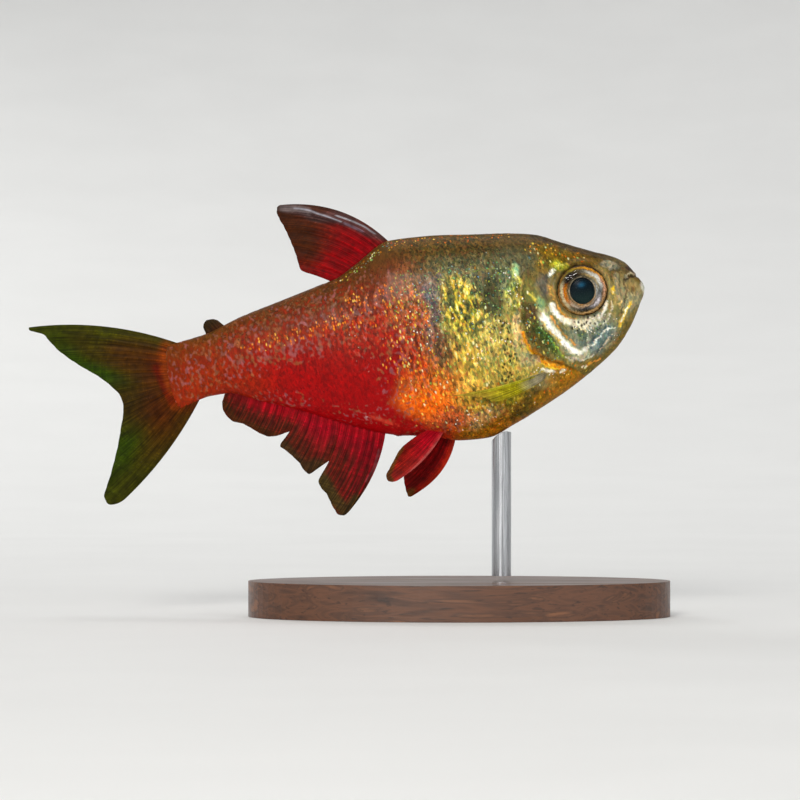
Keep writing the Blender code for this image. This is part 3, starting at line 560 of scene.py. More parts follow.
@dataclass(frozen=True)
class Markings:
    """The fish's colours and flecks, the same on its skin and its scales."""

    stalk_span: tuple = (8.0, 2.0)
    front_span: tuple = (15.3, 18.2)
    wander: tuple = ((0.9, 1.1, 1), (0.35, 0.35, 2))
    drift: tuple = ((0.7, 1.3, 3), (0.3, 0.4, 4))
    near_wander: tuple = ((0.16, 0.24, 5), (0.12, 0.1, 6))
    near_drift: tuple = ((0.16, 0.24, 7), (0.12, 0.1, 8))
    wander_on_head: float = 0.18
    back_line: tuple = (84, 64, 26)
    back_line_strength: float = 0.8
    eye_ring: tuple = (48, 38, 24)
    eye_ring_radius: float = 1.6
    eye_ring_width: float = 0.08
    eye_ring_strength: float = 0.4
    rear: Ramp = Ramp(((0.0, (158, 6, 12)), (0.1, (152, 4, 8)), (0.36, (144, 6, 6)), (0.48, (138, 16, 10)),
                       (0.6, (136, 38, 20)), (0.75, (114, 44, 18)), (0.88, (96, 50, 22)),
                       (1.0, (84, 54, 22))))
    stalk: Ramp = Ramp(((0.0, (138, 36, 4)), (0.16, (138, 42, 6)), (0.5, (128, 40, 4)),
                        (0.8, (112, 48, 10)), (1.0, (88, 54, 16))))
    front: Ramp = Ramp(((0.0, (136, 86, 12)), (0.12, (140, 104, 36)), (0.25, (160, 144, 68)),
                        (0.45, (168, 158, 88)), (0.6, (148, 146, 82)), (0.72, (94, 94, 68)),
                        (0.86, (86, 80, 52)), (1.0, (76, 60, 26))))
    head: Ramp = Ramp(((0.0, (112, 86, 26)), (0.15, (122, 112, 62)), (0.5, (134, 126, 80)),
                       (0.8, (96, 80, 36)), (1.0, (82, 64, 28))))
    body_paints: tuple = BODY_PAINTS
    head_paints: tuple = HEAD_PAINTS
    rim_paints: tuple = RIM_PAINTS
    flecks: dict = field(default_factory=lambda: FLECKS)

    def tint(self, body: Body, place: Array) -> Array:
        """Works out the smooth part of the colouring.

        Args:
            body: the body that the places lie on.
            place: rows of x, y and z in the fish's frame.

        Returns:
            Rows of linear red, green and blue.
        """
        wander, drift = waves(place, *self.wander), waves(place, *self.drift)
        x, z = as_seen(place)
        on_head = smooth_step(-0.05, 0.05, x - self.gill_edge_at(z))
        steady = 1 - 0.85 * on_head
        x_body, z_body = x + wander * steady, z + drift * steady
        height = body.height_share(x, z_body)
        colour = self.rear.colour(height)
        for ramp, start, end in ((self.stalk, *self.stalk_span), (self.front, *self.front_span)):
            blend(colour, ramp.colour(height), smooth_step(0, 1, (x_body - start) / (end - start)))
        for paint in self.body_paints:
            blend(colour, paint.colour, paint.shape.mask(x_body, z_body) * paint.strength)
        at_back = smooth_step(0.86, 1.0, height) * smooth_step(13.0, 15.5, x)
        blend(colour, self.back_line, self.back_line_strength * at_back)
        face = self.head.colour(body.height_share(x, z))
        near_x = x + self.wander_on_head * wander + waves(place, *self.near_wander)
        near_z = z + self.wander_on_head * drift + waves(place, *self.near_drift)
        for paint in self.head_paints:
            blend(face, paint.colour, paint.shape.mask(near_x, near_z) * paint.strength)
        around_eye = hump(from_eye(place) - self.eye_ring_radius, self.eye_ring_width)
        blend(face, self.eye_ring, self.eye_ring_strength * around_eye)
        blend(colour, face, on_head)
        for paint in self.rim_paints:
            blend(colour, paint.colour, paint.shape.mask(near_x, near_z) * paint.strength)
        return np.clip(colour, 0.0, 1.0)

    def gill_edge_at(self, z: Array) -> Array:
        """How far forward the rear edge of the gill cover lies at each height."""
        upward = tuple((height, x) for x, height in reversed(GILL_EDGE))
        over = np.maximum(0.0, z - GILL_EDGE[0][1])
        under = np.maximum(0.0, GILL_EDGE[-1][1] - z)
        return smooth_curve(upward, z) + 0.25 * over + 0.9 * under

    def amount(self, fleck: Fleck, place: Array) -> Array:
        """How thickly one kind of fleck lies at each place, from 0 to 1."""
        x, z = as_seen(place)
        most = np.zeros(len(x))
        for strength, *shape in self.flecks[fleck]:
            most = np.maximum(most, shape_of(*shape).mask(x, z) * strength)
        return most


def from_eye(place: Array) -> Array:
    """How far places lie from the eye's axis."""
    return np.hypot(place[:, 0] - EYE_CENTRE[0], place[:, 2] - EYE_CENTRE[1])


@dataclass(frozen=True)
class HeadRelief:
    """What stands proud of the head or is let into it, in millimetres along the skin's outward way."""

    gill_step: float = 0.2
    rim_slant: float = 0.85
    rim_top: tuple = (2.9, 1.8)
    rim_bottom: tuple = (-4.7, -3.6)
    rim_swell: tuple = (0.45, 0.7, 0.08)
    rim_dip: tuple = (0.09, 0.5)
    orbit_radius: float = 1.5
    orbit_depth: float = 0.45
    mouth_depth: float = 0.06
    lip_height: float = 0.025
    grain: float = 0.02
    bones: tuple = ((PREOPERCLE, 0.05, 0.2), (MAXILLA, 0.07, 0.15))
    bone_groove: float = 0.6
    rings: tuple = ((0.26, 0.14, 0.09), (0.62, 0.12, -0.05))
    pouch: tuple = (1.25, 0.08, 0.04)
    nostrils: tuple = ((28.42, 1.64, 0.11, 0.16), (28.02, 1.84, 0.15, 0.14))
    nostril_squash: float = 1.25
    nostril_rim: tuple = (0.05, 1.55, 0.06)
    jaw: tuple = ((28.2, -2.6), (27.2, -3.0), (26.2, -3.6), (25.2, -4.0))
    jaw_groove: tuple = (0.07, 0.05)
    vent: tuple = (13.35, -5.95, 0.2, 0.1)

    def height(self, markings: Markings, place: Array) -> Array:
        """Works out how far the skin moves outwards.

        Args:
            markings: gives the gill cover's edge.
            place: rows of x, y and z in the fish's frame.

        Returns:
            One height a row.
        """
        x, z = as_seen(place)
        rise = self.gill_rim(z, (markings.gill_edge_at(z) - x) * self.rim_slant)
        for line, height, width in self.bones:
            away = Stroke(line, 1.0).distance(x, z)
            rise += height * (hump(away, width) - self.bone_groove * hump(away - 2 * width, 0.4 * width))
        outside = from_eye(place) - self.orbit_radius
        rise -= self.orbit_depth * smooth_step(0.13, -0.02, outside)
        for reach, width, height in self.rings:
            rise += height * hump(outside - reach, width)
        reach, width, depth = self.pouch
        rise -= depth * smooth_step(0.3, -0.6, z) * hump(outside - reach, width)
        rise += self.mouth(x, z)
        height, times, width = self.nostril_rim
        for nostril_x, nostril_z, radius, depth in self.nostrils:
            away = np.hypot(x - nostril_x, (z - nostril_z) * self.nostril_squash)
            rise += height * hump(away - radius * times, width) - depth * np.exp(-(away / radius) ** 4)
        width, depth = self.jaw_groove
        rise -= depth * hump(Stroke(self.jaw, 1.0).distance(x, z), width)
        on_head = smooth_step(0.0, 0.4, x - markings.gill_edge_at(z))
        rise += on_head * waves(place, (self.grain, 0.28, 11))
        vent_x, vent_z, radius, height = self.vent
        return rise + height * hump(np.hypot(x - vent_x, z - vent_z), radius)

    def gill_rim(self, z: Array, behind: Array) -> Array:
        """The gill cover's swell up to its edge and the dip behind it.

        Args:
            z: where the places show in height.
            behind: how far behind the cover's edge they lie.

        Returns:
            One height a place.
        """
        fade = smooth_step(*self.rim_top, z) * smooth_step(*self.rim_bottom, z)
        drop, reach = self.rim_dip
        dip = smooth_step(0.0, drop, behind) * np.exp(-np.maximum(behind, 0) / reach)
        height, ahead, past = self.rim_swell
        swell = height * hump(behind, np.where(behind < 0, ahead, past))
        return self.gill_step * fade * (swell - dip)

    def mouth(self, x: Array, z: Array) -> Array:
        """The line of the mouth with a lip on either side of it."""
        away = Stroke(MOUTH, 1.0).distance(x, z)
        front = smooth_step(28.4, 29.1, x)
        lips = hump(away - 0.15, 0.09) * front * (0.25 + 0.75 * smooth_step(0.72, 0.95, z))
        return self.lip_height * lips - self.mouth_depth * (0.3 + 0.7 * front) * hump(away, 0.07)


@dataclass(frozen=True)
class Flesh:
    """The body with its relief: where skin, scales and fin roots lie."""

    body: Body = Body()
    markings: Markings = Markings()
    relief: HeadRelief = HeadRelief()
    pose: Pose = Pose()

    def surface(self, x: Array, angle: Array, lift: Array | float = 0.0) -> tuple:
        """Finds places on the skin or a little above it.

        Args:
            x: places along the fish.
            angle: places round it.
            lift: how far above the skin.

        Returns:
            The places themselves, and where they lie on the smooth body under the relief.
        """
        smooth = self.body.point(x, angle)
        outward = self.body.outward(x, angle)
        away = self.relief.height(self.markings, smooth) - self.body.inset + lift
        return smooth + outward * away[:, None], smooth


class NodeKit:
    """Builds one material's nodes."""

    def __init__(self, name: str, roughness: float, **values: float) -> None:
        """Starts a material.

        Args:
            name: the material's name.
            roughness: the shader's roughness where nothing is linked to it.
            values: its other sockets, by their names with _ for a space.
        """
        self.material = bpy.data.materials.new(name)
        self.material.use_nodes = True
        self.tree = self.material.node_tree
        self.shader = self.tree.nodes["Principled BSDF"]
        self.feed(Roughness=roughness, **values)

    def link(self, value: object, socket: Socket) -> None:
        """Feeds a socket from an output, or sets it to a number or a colour."""
        if isinstance(value, Socket):
            self.tree.links.new(value, socket)
        elif isinstance(value, Array):
            socket.default_value = (*value, 1.0)
        else:
            socket.default_value = value

    def feed(self, **values: object) -> None:
        """Feeds the shader's sockets by their names, with _ for a space."""
        for name, value in values.items():
            self.link(value, self.shader.inputs[name.replace("_", " ")])

    def add(self, kind: str, *inputs: object, **settings: object) -> bpy.types.Node:
        """Adds a node.

        Args:
            kind: its type, without the usual start.
            inputs: what its first sockets take.
            settings: its own settings, and other sockets by names with a capital.

        Returns:
            The node.
        """
        node = self.tree.nodes.new("ShaderNode" + kind)
        for name, value in settings.items():
            if name[0].isupper():
                node.inputs[name].default_value = value
            else:
                setattr(node, name, value)
        for value, socket in zip(inputs, node.inputs):
            self.link(value, socket)
        return node

    def attribute(self, name: str) -> bpy.types.NodeSocketCollection:
        """Reads one of the mesh's own attributes."""
        return self.add("Attribute", attribute_name=name).outputs

    def place(self) -> Socket:
        """Where each point lies on the straight fish, in millimetres."""
        return self.attribute("place")["Vector"]

    def where(self) -> Socket:
        """Where each point lies in the object's own coordinates, in metres."""
        return self.add("TexCoord").outputs["Object"]

    def split(self, colour: Socket) -> list:
        """Takes a colour apart into its three values."""
        return list(self.add("SeparateColor", colour).outputs)

    def stretched(self, vector: Socket, scale: tuple) -> Socket:
        """Scales a vector by its three parts."""
        return self.add("Mapping", vector, Scale=scale).outputs[0]

    def slanted(self, vector: Socket, length: float) -> Socket:
        """Makes patterns on a vector so many times as tall, and leans them back as the scales' lie does."""
        return self.add("Mapping", vector, vector_type="TEXTURE", Scale=(1.0, 1.0, length),
                        Rotation=(0.0, -0.07, 0.0)).outputs[0]

    def warped(self, vector: Socket, scale: float, amount: float) -> Socket:
        """Shakes a vector about, so that a pattern on it loses its even edges."""
        shake = self.add("TexNoise", vector, Scale=scale).outputs["Color"]
        return self.add("VectorMath", shake, (amount,) * 3, vector, operation="MULTIPLY_ADD").outputs[0]

    def noise(self, vector: Socket, scale: float, detail: float = 2.0, distortion: float = 0.0) -> Socket:
        """Adds soft noise and returns its value."""
        return self.add("TexNoise", vector, Scale=scale, Detail=detail, Distortion=distortion).outputs[0]

    def cells(self, vector: Socket, scale: float) -> tuple:
        """Adds a pattern of cells: the distance from each one's middle, and its three random draws."""
        node = self.add("TexVoronoi", vector, Scale=scale)
        return node.outputs["Distance"], self.split(node.outputs["Color"])

    def math(self, operation: str, first: object, second: object = 0.0) -> Socket:
        """Adds one sum and returns its result."""
        return self.add("Math", first, second, operation=operation).outputs[0]

    def times(self, first: object, second: object) -> Socket:
        """Multiplies two values."""
        return self.math("MULTIPLY", first, second)

    def plus(self, first: object, second: object) -> Socket:
        """Adds two values up."""
        return self.math("ADD", first, second)

    def minus(self, first: object, second: object) -> Socket:
        """Takes the second value from the first."""
        return self.math("SUBTRACT", first, second)

    def step(self, value: object, low: object, high: object, to_low: float = 0.0,
             to_high: float = 1.0) -> Socket:
        """Eases a value between two limits."""
        return self.add("MapRange", value, low, high, to_low, to_high,
                        interpolation_type="SMOOTHSTEP").outputs[0]

    def spot(self, away: Socket, reach: float) -> Socket:
        """Fades each cell out from its middle, so that it makes a round spot."""
        return self.step(away, reach, 0.3 * reach)

    def picked(self, draw: Socket, amount: Socket, most: float) -> Socket:
        """Marks the cells whose random draw falls within the amount, up to a largest share of them."""
        edge = self.minus(1.0, self.times(amount, most))
        return self.times(self.step(draw, edge, self.plus(edge, 0.04)), self.step(amount, 0.0, 0.15))

    def mix(self, share: object, first: object, second: object, blend_type: str = "MIX") -> Socket:
        """Mixes two colours and returns the result."""
        node = self.add("Mix", share, data_type="RGBA", blend_type=blend_type, clamp_result=True)
        self.link(first, node.inputs[6])
        self.link(second, node.inputs[7])
        return node.outputs[2]

    def shaded(self, colour: Socket, light: object) -> Socket:
        """Multiplies a colour by another or by a brightness."""
        return self.mix(1.0, colour, light, "MULTIPLY")

    def ramp(self, value: Socket, *stops: tuple) -> Socket:
        """Turns a value into a colour from stops, each a place and its screen colour or grey."""
        node = self.add("ValToRGB", value)
        elements = node.color_ramp.elements
        while len(elements) < len(stops):
            elements.new(0.5)
        for element, (place, *colour) in zip(elements, stops):
            element.position = place
            element.color = (*linear(*(colour * 3 if len(colour) == 1 else colour)), 1.0)
        return node.outputs[0]

    def bump(self, height: Socket, distance: float, strength: float) -> None:
        """Lets a value raise the surface by so many metres."""
        node = self.add("Bump", Distance=distance, Strength=strength)
        self.link(height, node.inputs["Height"])
        previous = self.shader.inputs["Normal"]
        if previous.links:
            self.link(previous.links[0].from_socket, node.inputs["Normal"])
        self.link(node.outputs[0], previous)


@dataclass(frozen=True)
class FishSkinFinish:
    """Wet skin: smooth colours from the mesh, broken into fine flakes of many hues."""

    name: str
    slot: str
    coat: float = 0.06

    def material(self) -> bpy.types.Material:
        """Builds the material."""
        kit = NodeKit(self.name, 0.4, Coat_Weight=self.coat, Coat_Roughness=0.12, Specular_IOR_Level=0.06)
        place = kit.place()
        tint, flecks, shine = (kit.attribute(name) for name in ("tint", "flecks", "shine"))
        colour, grain = tint["Color"], tint["Alpha"]
        gold, sparkle, dark = kit.split(flecks["Color"])
        orange, pale, foil = kit.split(shine["Color"])
        pores, foil_gleam = flecks["Alpha"], shine["Alpha"]
        lilac = kit.split(kit.attribute("bloom")["Color"])[0]
        uneven = kit.warped(place, 6.0, 0.12)
        tall = kit.slanted(uneven, 2.0)

        def lay(mark: Socket, strength: float, paint: object) -> None:
            """Lays a paint over the colour where a mark is."""
            nonlocal colour
            colour = kit.mix(kit.times(mark, strength), colour, paint)

        # grey-lilac and deep red dabs, then long waves of light and shade
        dabs = kit.noise(kit.slanted(kit.warped(place, 3.0, 0.1), 1.3), 4.6, 0.6)
        edge = kit.minus(0.58, kit.times(lilac, 0.15))
        some = kit.step(lilac, 0.0, 0.15)
        lay(kit.times(kit.step(dabs, 0.5, 0.34), kit.times(lilac, some)), 0.6, linear(146, 14, 8))
        lay(kit.times(kit.step(dabs, edge, kit.plus(edge, 0.22)), some), 0.68,
            kit.ramp(kit.noise(place, 1.1), (0.4, 134, 82, 50), (0.6, 142, 82, 88)))
        wave = kit.noise(kit.slanted(kit.warped(place, 1.4, 0.35), 2.8), 4.0, 2.0)
        swing = kit.times(kit.minus(kit.step(wave, 0.36, 0.64), 0.5), kit.plus(0.18, kit.times(foil, 0.7)))
        colour = kit.shaded(colour, kit.plus(1.0, swing))
        # painted light and shade: bright gleaming streaks with dark gaps, on the same waves
        lay(foil_gleam, 0.8, kit.ramp(wave, (0.38, 52, 58, 40), (0.47, 98, 98, 50), (0.54, 160, 140, 36),
                                (0.61, 220, 196, 70), (0.7, 250, 244, 190)))

        # fine flakes, each of its own hue and brightness
        flakes, flake = kit.cells(tall, 9.0)
        leaves, leaf = kit.cells(tall, 7.0)
        hue = kit.ramp(flake[0], (0.05, 110, 114, 112), (0.22, 146, 176, 178), (0.4, 176, 184, 134),
                       (0.6, 236, 202, 150), (0.78, 255, 244, 214), (0.95, 214, 156, 146))
        colour = kit.mix(kit.times(grain, 0.9), colour, hue, "OVERLAY")
        glow = kit.times(kit.minus(leaf[2], 0.5), grain)
        colour = kit.shaded(colour, kit.plus(1.0, kit.times(glow, 0.8)))

        # scattered marks: the cells and a spot's reach in them, the draw, how many, and the paint
        specks, speck = kit.cells(uneven, 9.0)
        dots, dot = kit.cells(kit.slanted(uneven, 1.3), 4.8)
        embers = kit.ramp(flake[1], (0.1, 190, 62, 6), (0.4, 222, 98, 10), (0.75, 238, 142, 22),
                          (0.95, 246, 198, 84))
        gilding = kit.ramp(leaf[1], (0.1, 180, 104, 16), (0.35, 222, 180, 30), (0.6, 240, 222, 96),
                           (0.8, 252, 246, 200), (0.95, 140, 186, 70))
        gems = kit.ramp(speck[0], (0.1, 66, 130, 60), (0.3, 96, 176, 120), (0.42, 80, 130, 166),
                        (0.52, 160, 186, 150), (0.7, 176, 186, 50), (0.95, 116, 146, 40))
        for away, reach, draw, amount, most, strength, paint in (
                (specks, 0.6, speck[0], dark, 0.4, 0.65, linear(28, 24, 16)),
                (flakes, 0.7, flake[2], orange, 0.36, 0.85, embers),
                (dots, 0.55, dot[0], pores, 0.9, 0.9, linear(26, 22, 12)),
                (leaves, 0.6, leaf[0], gold, 0.34, 0.85, gilding),
                (specks, 0.6, speck[1], sparkle, 0.3, 0.85, gems),
                # painted highlights: the white glints
                (specks, 0.6, speck[2], pale, 0.14, 0.9, linear(252, 246, 230))):
            lay(kit.times(kit.spot(away, reach), kit.picked(draw, amount, most)), strength, paint)

        kit.feed(Base_Color=colour, Metallic=kit.times(foil, 0.3),
                 Roughness=kit.step(foil, 0.0, 1.0, 0.45, 0.3))
        kit.bump(kit.times(kit.noise(tall, 6.5, 3.0, 0.4), kit.plus(0.25, foil)), 0.0001, 0.6)
        kit.bump(kit.noise(place, 9.0, 2.0), 0.00003, 0.5)
        return kit.material


@dataclass(frozen=True)
class FinFinish:
    """Thin fin membrane: colours from the mesh, with joints across its rays and fine streaks along them."""

    name: str
    slot: str
    roughness: float = 0.42
    streak_shade: int = 150

    def material(self) -> bpy.types.Material:
        """Builds the material."""
        kit = NodeKit(self.name, self.roughness, Coat_Weight=0.0, Specular_IOR_Level=0.05)
        net = kit.attribute("net")["Vector"]
        ray = kit.split(kit.attribute("ray")["Color"])[0]
        streak = kit.noise(kit.stretched(net, (9.0, 0.35, 1.0)), 1.0, 3.0)
        colour = kit.attribute("tint")["Color"]
        colour = kit.shaded(colour, kit.ramp(streak, (0.3, self.streak_shade), (0.7, 255)))
        colour = kit.shaded(colour, kit.ramp(kit.noise(kit.place(), 2.4, 3.0), (0.3, 190), (0.65, 255)))
        away, _ = kit.cells(kit.stretched(net, (0.0, 7.0, 0.0)), 1.0)
        gap = kit.times(kit.step(away, 0.3, 0.5), ray)
        kit.feed(Base_Color=kit.mix(kit.times(gap, 0.35), colour, linear(20, 14, 8)))
        kit.bump(kit.minus(streak, kit.times(gap, 0.6)), 0.00005, 0.6)
        return kit.material


@dataclass(frozen=True)
class EyeFinish:
    """The eyeball: a gold and white iris, painted on the mesh, and a dark pupil."""

    name: str = "eye_iris_and_pupil"
    slot: str = "eye"

    def material(self) -> bpy.types.Material:
        """Builds the material."""
        kit = NodeKit(self.name, 0.2, Coat_Weight=0.0, Specular_IOR_Level=0.04)
        metal = kit.split(kit.attribute("shine")["Color"])[0]
        colour = kit.attribute("tint")["Color"]
        grain = kit.noise(kit.place(), 9.0, 3.0)
        soft = kit.shaded(colour, kit.ramp(grain, (0.3, 170, 166, 158), (0.65, 255)))
        kit.feed(Base_Color=kit.mix(kit.step(metal, 0.0, 0.6, 0.1, 1.0), colour, soft),
                 Metallic=kit.times(metal, 0.04))
        kit.bump(kit.times(grain, metal), 0.00004, 0.5)
        return kit.material


@dataclass(frozen=True)
class CorneaFinish:
    """The clear, wet front of the eye."""

    name: str = "eye_cornea"
    slot: str = "eye"

    def material(self) -> bpy.types.Material:
        """Builds the material."""
        kit = NodeKit(self.name, 0.03, Alpha=0.1, IOR=1.36)
        kit.feed(Base_Color=kit.ramp(kit.noise(kit.place(), 1.5), (0.3, 10, 16, 20), (0.7, 26, 34, 38)))
        return kit.material


@dataclass(frozen=True)
class WalnutFinish:
    """Satin walnut with its grain along the base."""

    name: str = "satin_walnut"
    slot: str = "walnut"

    def material(self) -> bpy.types.Material:
        """Builds the material."""
        kit = NodeKit(self.name, 0.42, Coat_Weight=0.25, Coat_Roughness=0.25)
        where = kit.where()
        rings = kit.noise(kit.stretched(where, (120.0, 900.0, 1400.0)), 1.0, 4.0, 0.8)
        pores = kit.noise(kit.stretched(where, (500.0, 6000.0, 6000.0)), 1.0, 2.0)
        colour = kit.ramp(rings, (0.3, 58, 34, 20), (0.48, 96, 58, 34), (0.58, 74, 44, 26),
                          (0.7, 120, 76, 46))
        kit.feed(Base_Color=kit.mix(kit.step(pores, 0.6, 0.7, 0.0, 0.6), colour, linear(34, 20, 12)),
                 Roughness=kit.step(rings, 0.3, 0.7, 0.36, 0.5))
        kit.bump(pores, 0.00002, 0.5)
        return kit.material


@dataclass(frozen=True)
class SteelFinish:
    """A round steel rod, brushed along its length."""

    name: str = "brushed_rod"
    slot: str = "steel"

    def material(self) -> bpy.types.Material:
        """Builds the material."""
        kit = NodeKit(self.name, 0.28, Metallic=1.0)
        brushed = kit.noise(kit.stretched(kit.where(), (9000.0, 9000.0, 300.0)), 1.0, 2.0)
        kit.feed(Base_Color=kit.ramp(brushed, (0.3, 150, 152, 156), (0.7, 200, 202, 206)),
                 Roughness=kit.step(brushed, 0.3, 0.7, 0.2, 0.36))
        kit.bump(brushed, 0.00001, 0.4)
        return kit.material


@dataclass(frozen=True)
class PlainFinish:
    """A matt, even studio surface."""

    name: str
    shade: tuple

    def material(self) -> bpy.types.Material:
        """Builds the material."""
        kit = NodeKit(self.name, 0.7)
        low = [value - 3 for value in self.shade]
        kit.feed(Base_Color=kit.ramp(kit.noise(kit.where(), 60.0), (0.3, *low), (0.7, *self.shade)))
        return kit.material


class Piece:
    """One finished mesh of the model."""

    def __init__(self, name: str, bm: bmesh.types.BMesh) -> None:
        """Makes an object of a bmesh.

        Args:
            name: the piece's name.
            bm: its mesh, in the world and in metres, which is freed.
        """
        mesh = bpy.data.meshes.new(name)
        bm.to_mesh(mesh)
        bm.free()
        self.mesh = mesh
        self.object = bpy.data.objects.new(name, mesh)
        bpy.context.scene.collection.objects.link(self.object)

    def colours(self, name: str, values: Array, alpha: Array | float = 1.0) -> None:
        """Stores one linear colour a point, with its alpha."""
        layer = self.mesh.color_attributes.new(name, "FLOAT_COLOR", "POINT")
        full = np.ones((len(self.mesh.vertices), 4), np.float32)
        full[:, :3] = values
        full[:, 3] = alpha
        layer.data.foreach_set("color", full.ravel())

    def vectors(self, name: str, values: Array) -> None:
        """Stores one vector a point."""
        layer = self.mesh.attributes.new(name, "FLOAT_VECTOR", "POINT")
        layer.data.foreach_set("vector", np.ascontiguousarray(values, np.float32).ravel())

    def unwrap(self, spots: Array, girth: float = 0.0) -> None:
        """Gives the piece its bake map.

        Args:
            spots: one (u, v) spot a point.
            girth: how much of v a full turn takes, so that faces on the seam stay whole, or 0.
        """
        corner = np.empty(len(self.mesh.loops), np.int32)
        self.mesh.loops.foreach_get("vertex_index", corner)
        spots = spots[corner]
        for face in self.mesh.polygons if girth else ():
            turn = spots[face.loop_start:face.loop_start + face.loop_total, 1]
            turn[turn < turn.max() - girth / 2] += girth
        layer = self.mesh.uv_layers.new(name="OFBake")
        layer.data.foreach_set("uv", np.ascontiguousarray(spots, np.float32).ravel())

    def finish(self, look: object, replaces: tuple = (), crease_deg: float = 0.0) -> None:
        """Dresses the piece and ties it to the frame.

        Args:
            look: the finish it takes.
            replaces: the solids' nodes that it stands for.
            crease_deg: edges that bend more than this stay sharp, or 0 for none.
        """
        self.mesh.materials.append(material_of(look))
        self.mesh.shade_smooth()
        if crease_deg:
            self.mesh.set_sharp_from_angle(angle=math.radians(crease_deg))
        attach(self.object, BODY)
        if replaces:
            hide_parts(*replaces)
        log.info("%s: %d triangles", self.object.name, sum(len(p.vertices) - 2 for p in self.mesh.polygons))


made_materials: dict = {}


def material_of(look: object) -> bpy.types.Material:
    """The material of a finish, built once."""
    if look.name not in made_materials:
        made_materials[look.name] = look.material()
    return made_materials[look.name]


def positions(bm: bmesh.types.BMesh) -> Array:
    """Rows of a bmesh's vertex places."""
    return np.array([vert.co[:] for vert in bm.verts], float).reshape(-1, 3)


def place_all(bm: bmesh.types.BMesh, places: Array) -> None:
    """Moves a bmesh's vertices to new places, with its faces turned outwards."""
    for vert, place in zip(bm.verts, places):
        vert.co = place
    bm.normal_update()
    bmesh.ops.recalc_face_normals(bm, faces=bm.faces[:])


@dataclass
class Skin:
    """One unbroken skin over head, jaw, gill covers, trunk and tail stalk."""

    flesh: Flesh
    around: int = 300
    rings: int = 330
    head_from: float = 21.2
    head_share: float = 0.66
    snout_density: float = 0.35
    side_density: float = 0.22
    nodes: tuple = ("head", "lower_jaw", "gill_cover_left", "gill_cover_right", "trunk", "tail_stalk")

    def build(self) -> None:
        """Builds and dresses the skin."""
        bm = bmesh.new()
        bmesh.ops.create_uvsphere(bm, u_segments=self.around, v_segments=self.rings, radius=1.0)
        ball = positions(bm)
        share = 1 - np.arccos(np.clip(ball[:, 2], -1, 1)) / math.pi
        x = self.spread(share)
        angle = np.arctan2(ball[:, 1], ball[:, 0])
        angle = angle + self.side_density * np.sin(2 * angle)
        skin, smooth = self.flesh.surface(x, angle)
        place_all(bm, self.flesh.pose.to_world(skin))
        piece = Piece("tetra_skin", bm)
        paint_skin(piece, self.flesh, smooth)
        spots = np.stack([x / self.flesh.body.length, np.mod(angle / (2 * math.pi) + 0.5, 1.0)], axis=1)
        piece.unwrap(0.01 + 0.96 * spots, 0.96)
        piece.finish(FishSkinFinish("tetra_skin_finish", "gold_flank"), self.nodes)

    def spread(self, share: Array) -> Array:
        """Spreads the rings along the fish: close on the head, closest at both ends."""
        length = self.flesh.body.length
        rest = 1 - self.head_share
        behind = self.head_from * (1 - np.cos(math.pi / 2 * np.clip(share / rest, 0, 1)))
        ahead = np.clip((share - rest) / self.head_share, 0, 1)
        ahead = ahead * (1 - self.snout_density * ahead ** 4) / (1 - self.snout_density)
        reach = (length - self.head_from) * np.sin(math.pi / 2 * np.clip(ahead, 0, 1))
        return np.where(share < rest, behind, self.head_from + reach)


def paint_skin(piece: Piece, flesh: Flesh, smooth: Array, shade: Array | float = 1.0) -> None:
    """Stores the markings on a piece of skin or scales.

    Args:
        piece: the piece to paint.
        flesh: gives the markings.
        smooth: where each point lies on the smooth body.
        shade: a brightness factor for each point.
    """
    marks = flesh.markings

    def amounts(*kinds: Fleck) -> Array:
        """How thickly these kinds of fleck lie, one column each."""
        return np.stack([marks.amount(kind, smooth) for kind in kinds], axis=1)

    tint = marks.tint(flesh.body, smooth) * np.atleast_1d(shade)[:, None]
    piece.colours("tint", np.clip(tint, 0, 1), marks.amount(Fleck.GRAIN, smooth))
    piece.vectors("place", smooth)
    piece.colours("flecks", amounts(Fleck.GOLD, Fleck.SPARKLE, Fleck.DARK),
                  marks.amount(Fleck.PORES, smooth))
    piece.colours("shine", amounts(Fleck.ORANGE, Fleck.PAINTED_GLINT, Fleck.FOIL), marks.amount(Fleck.FOIL_GLEAM, smooth))
    piece.colours("bloom", amounts(Fleck.LILAC, Fleck.LILAC, Fleck.LILAC))


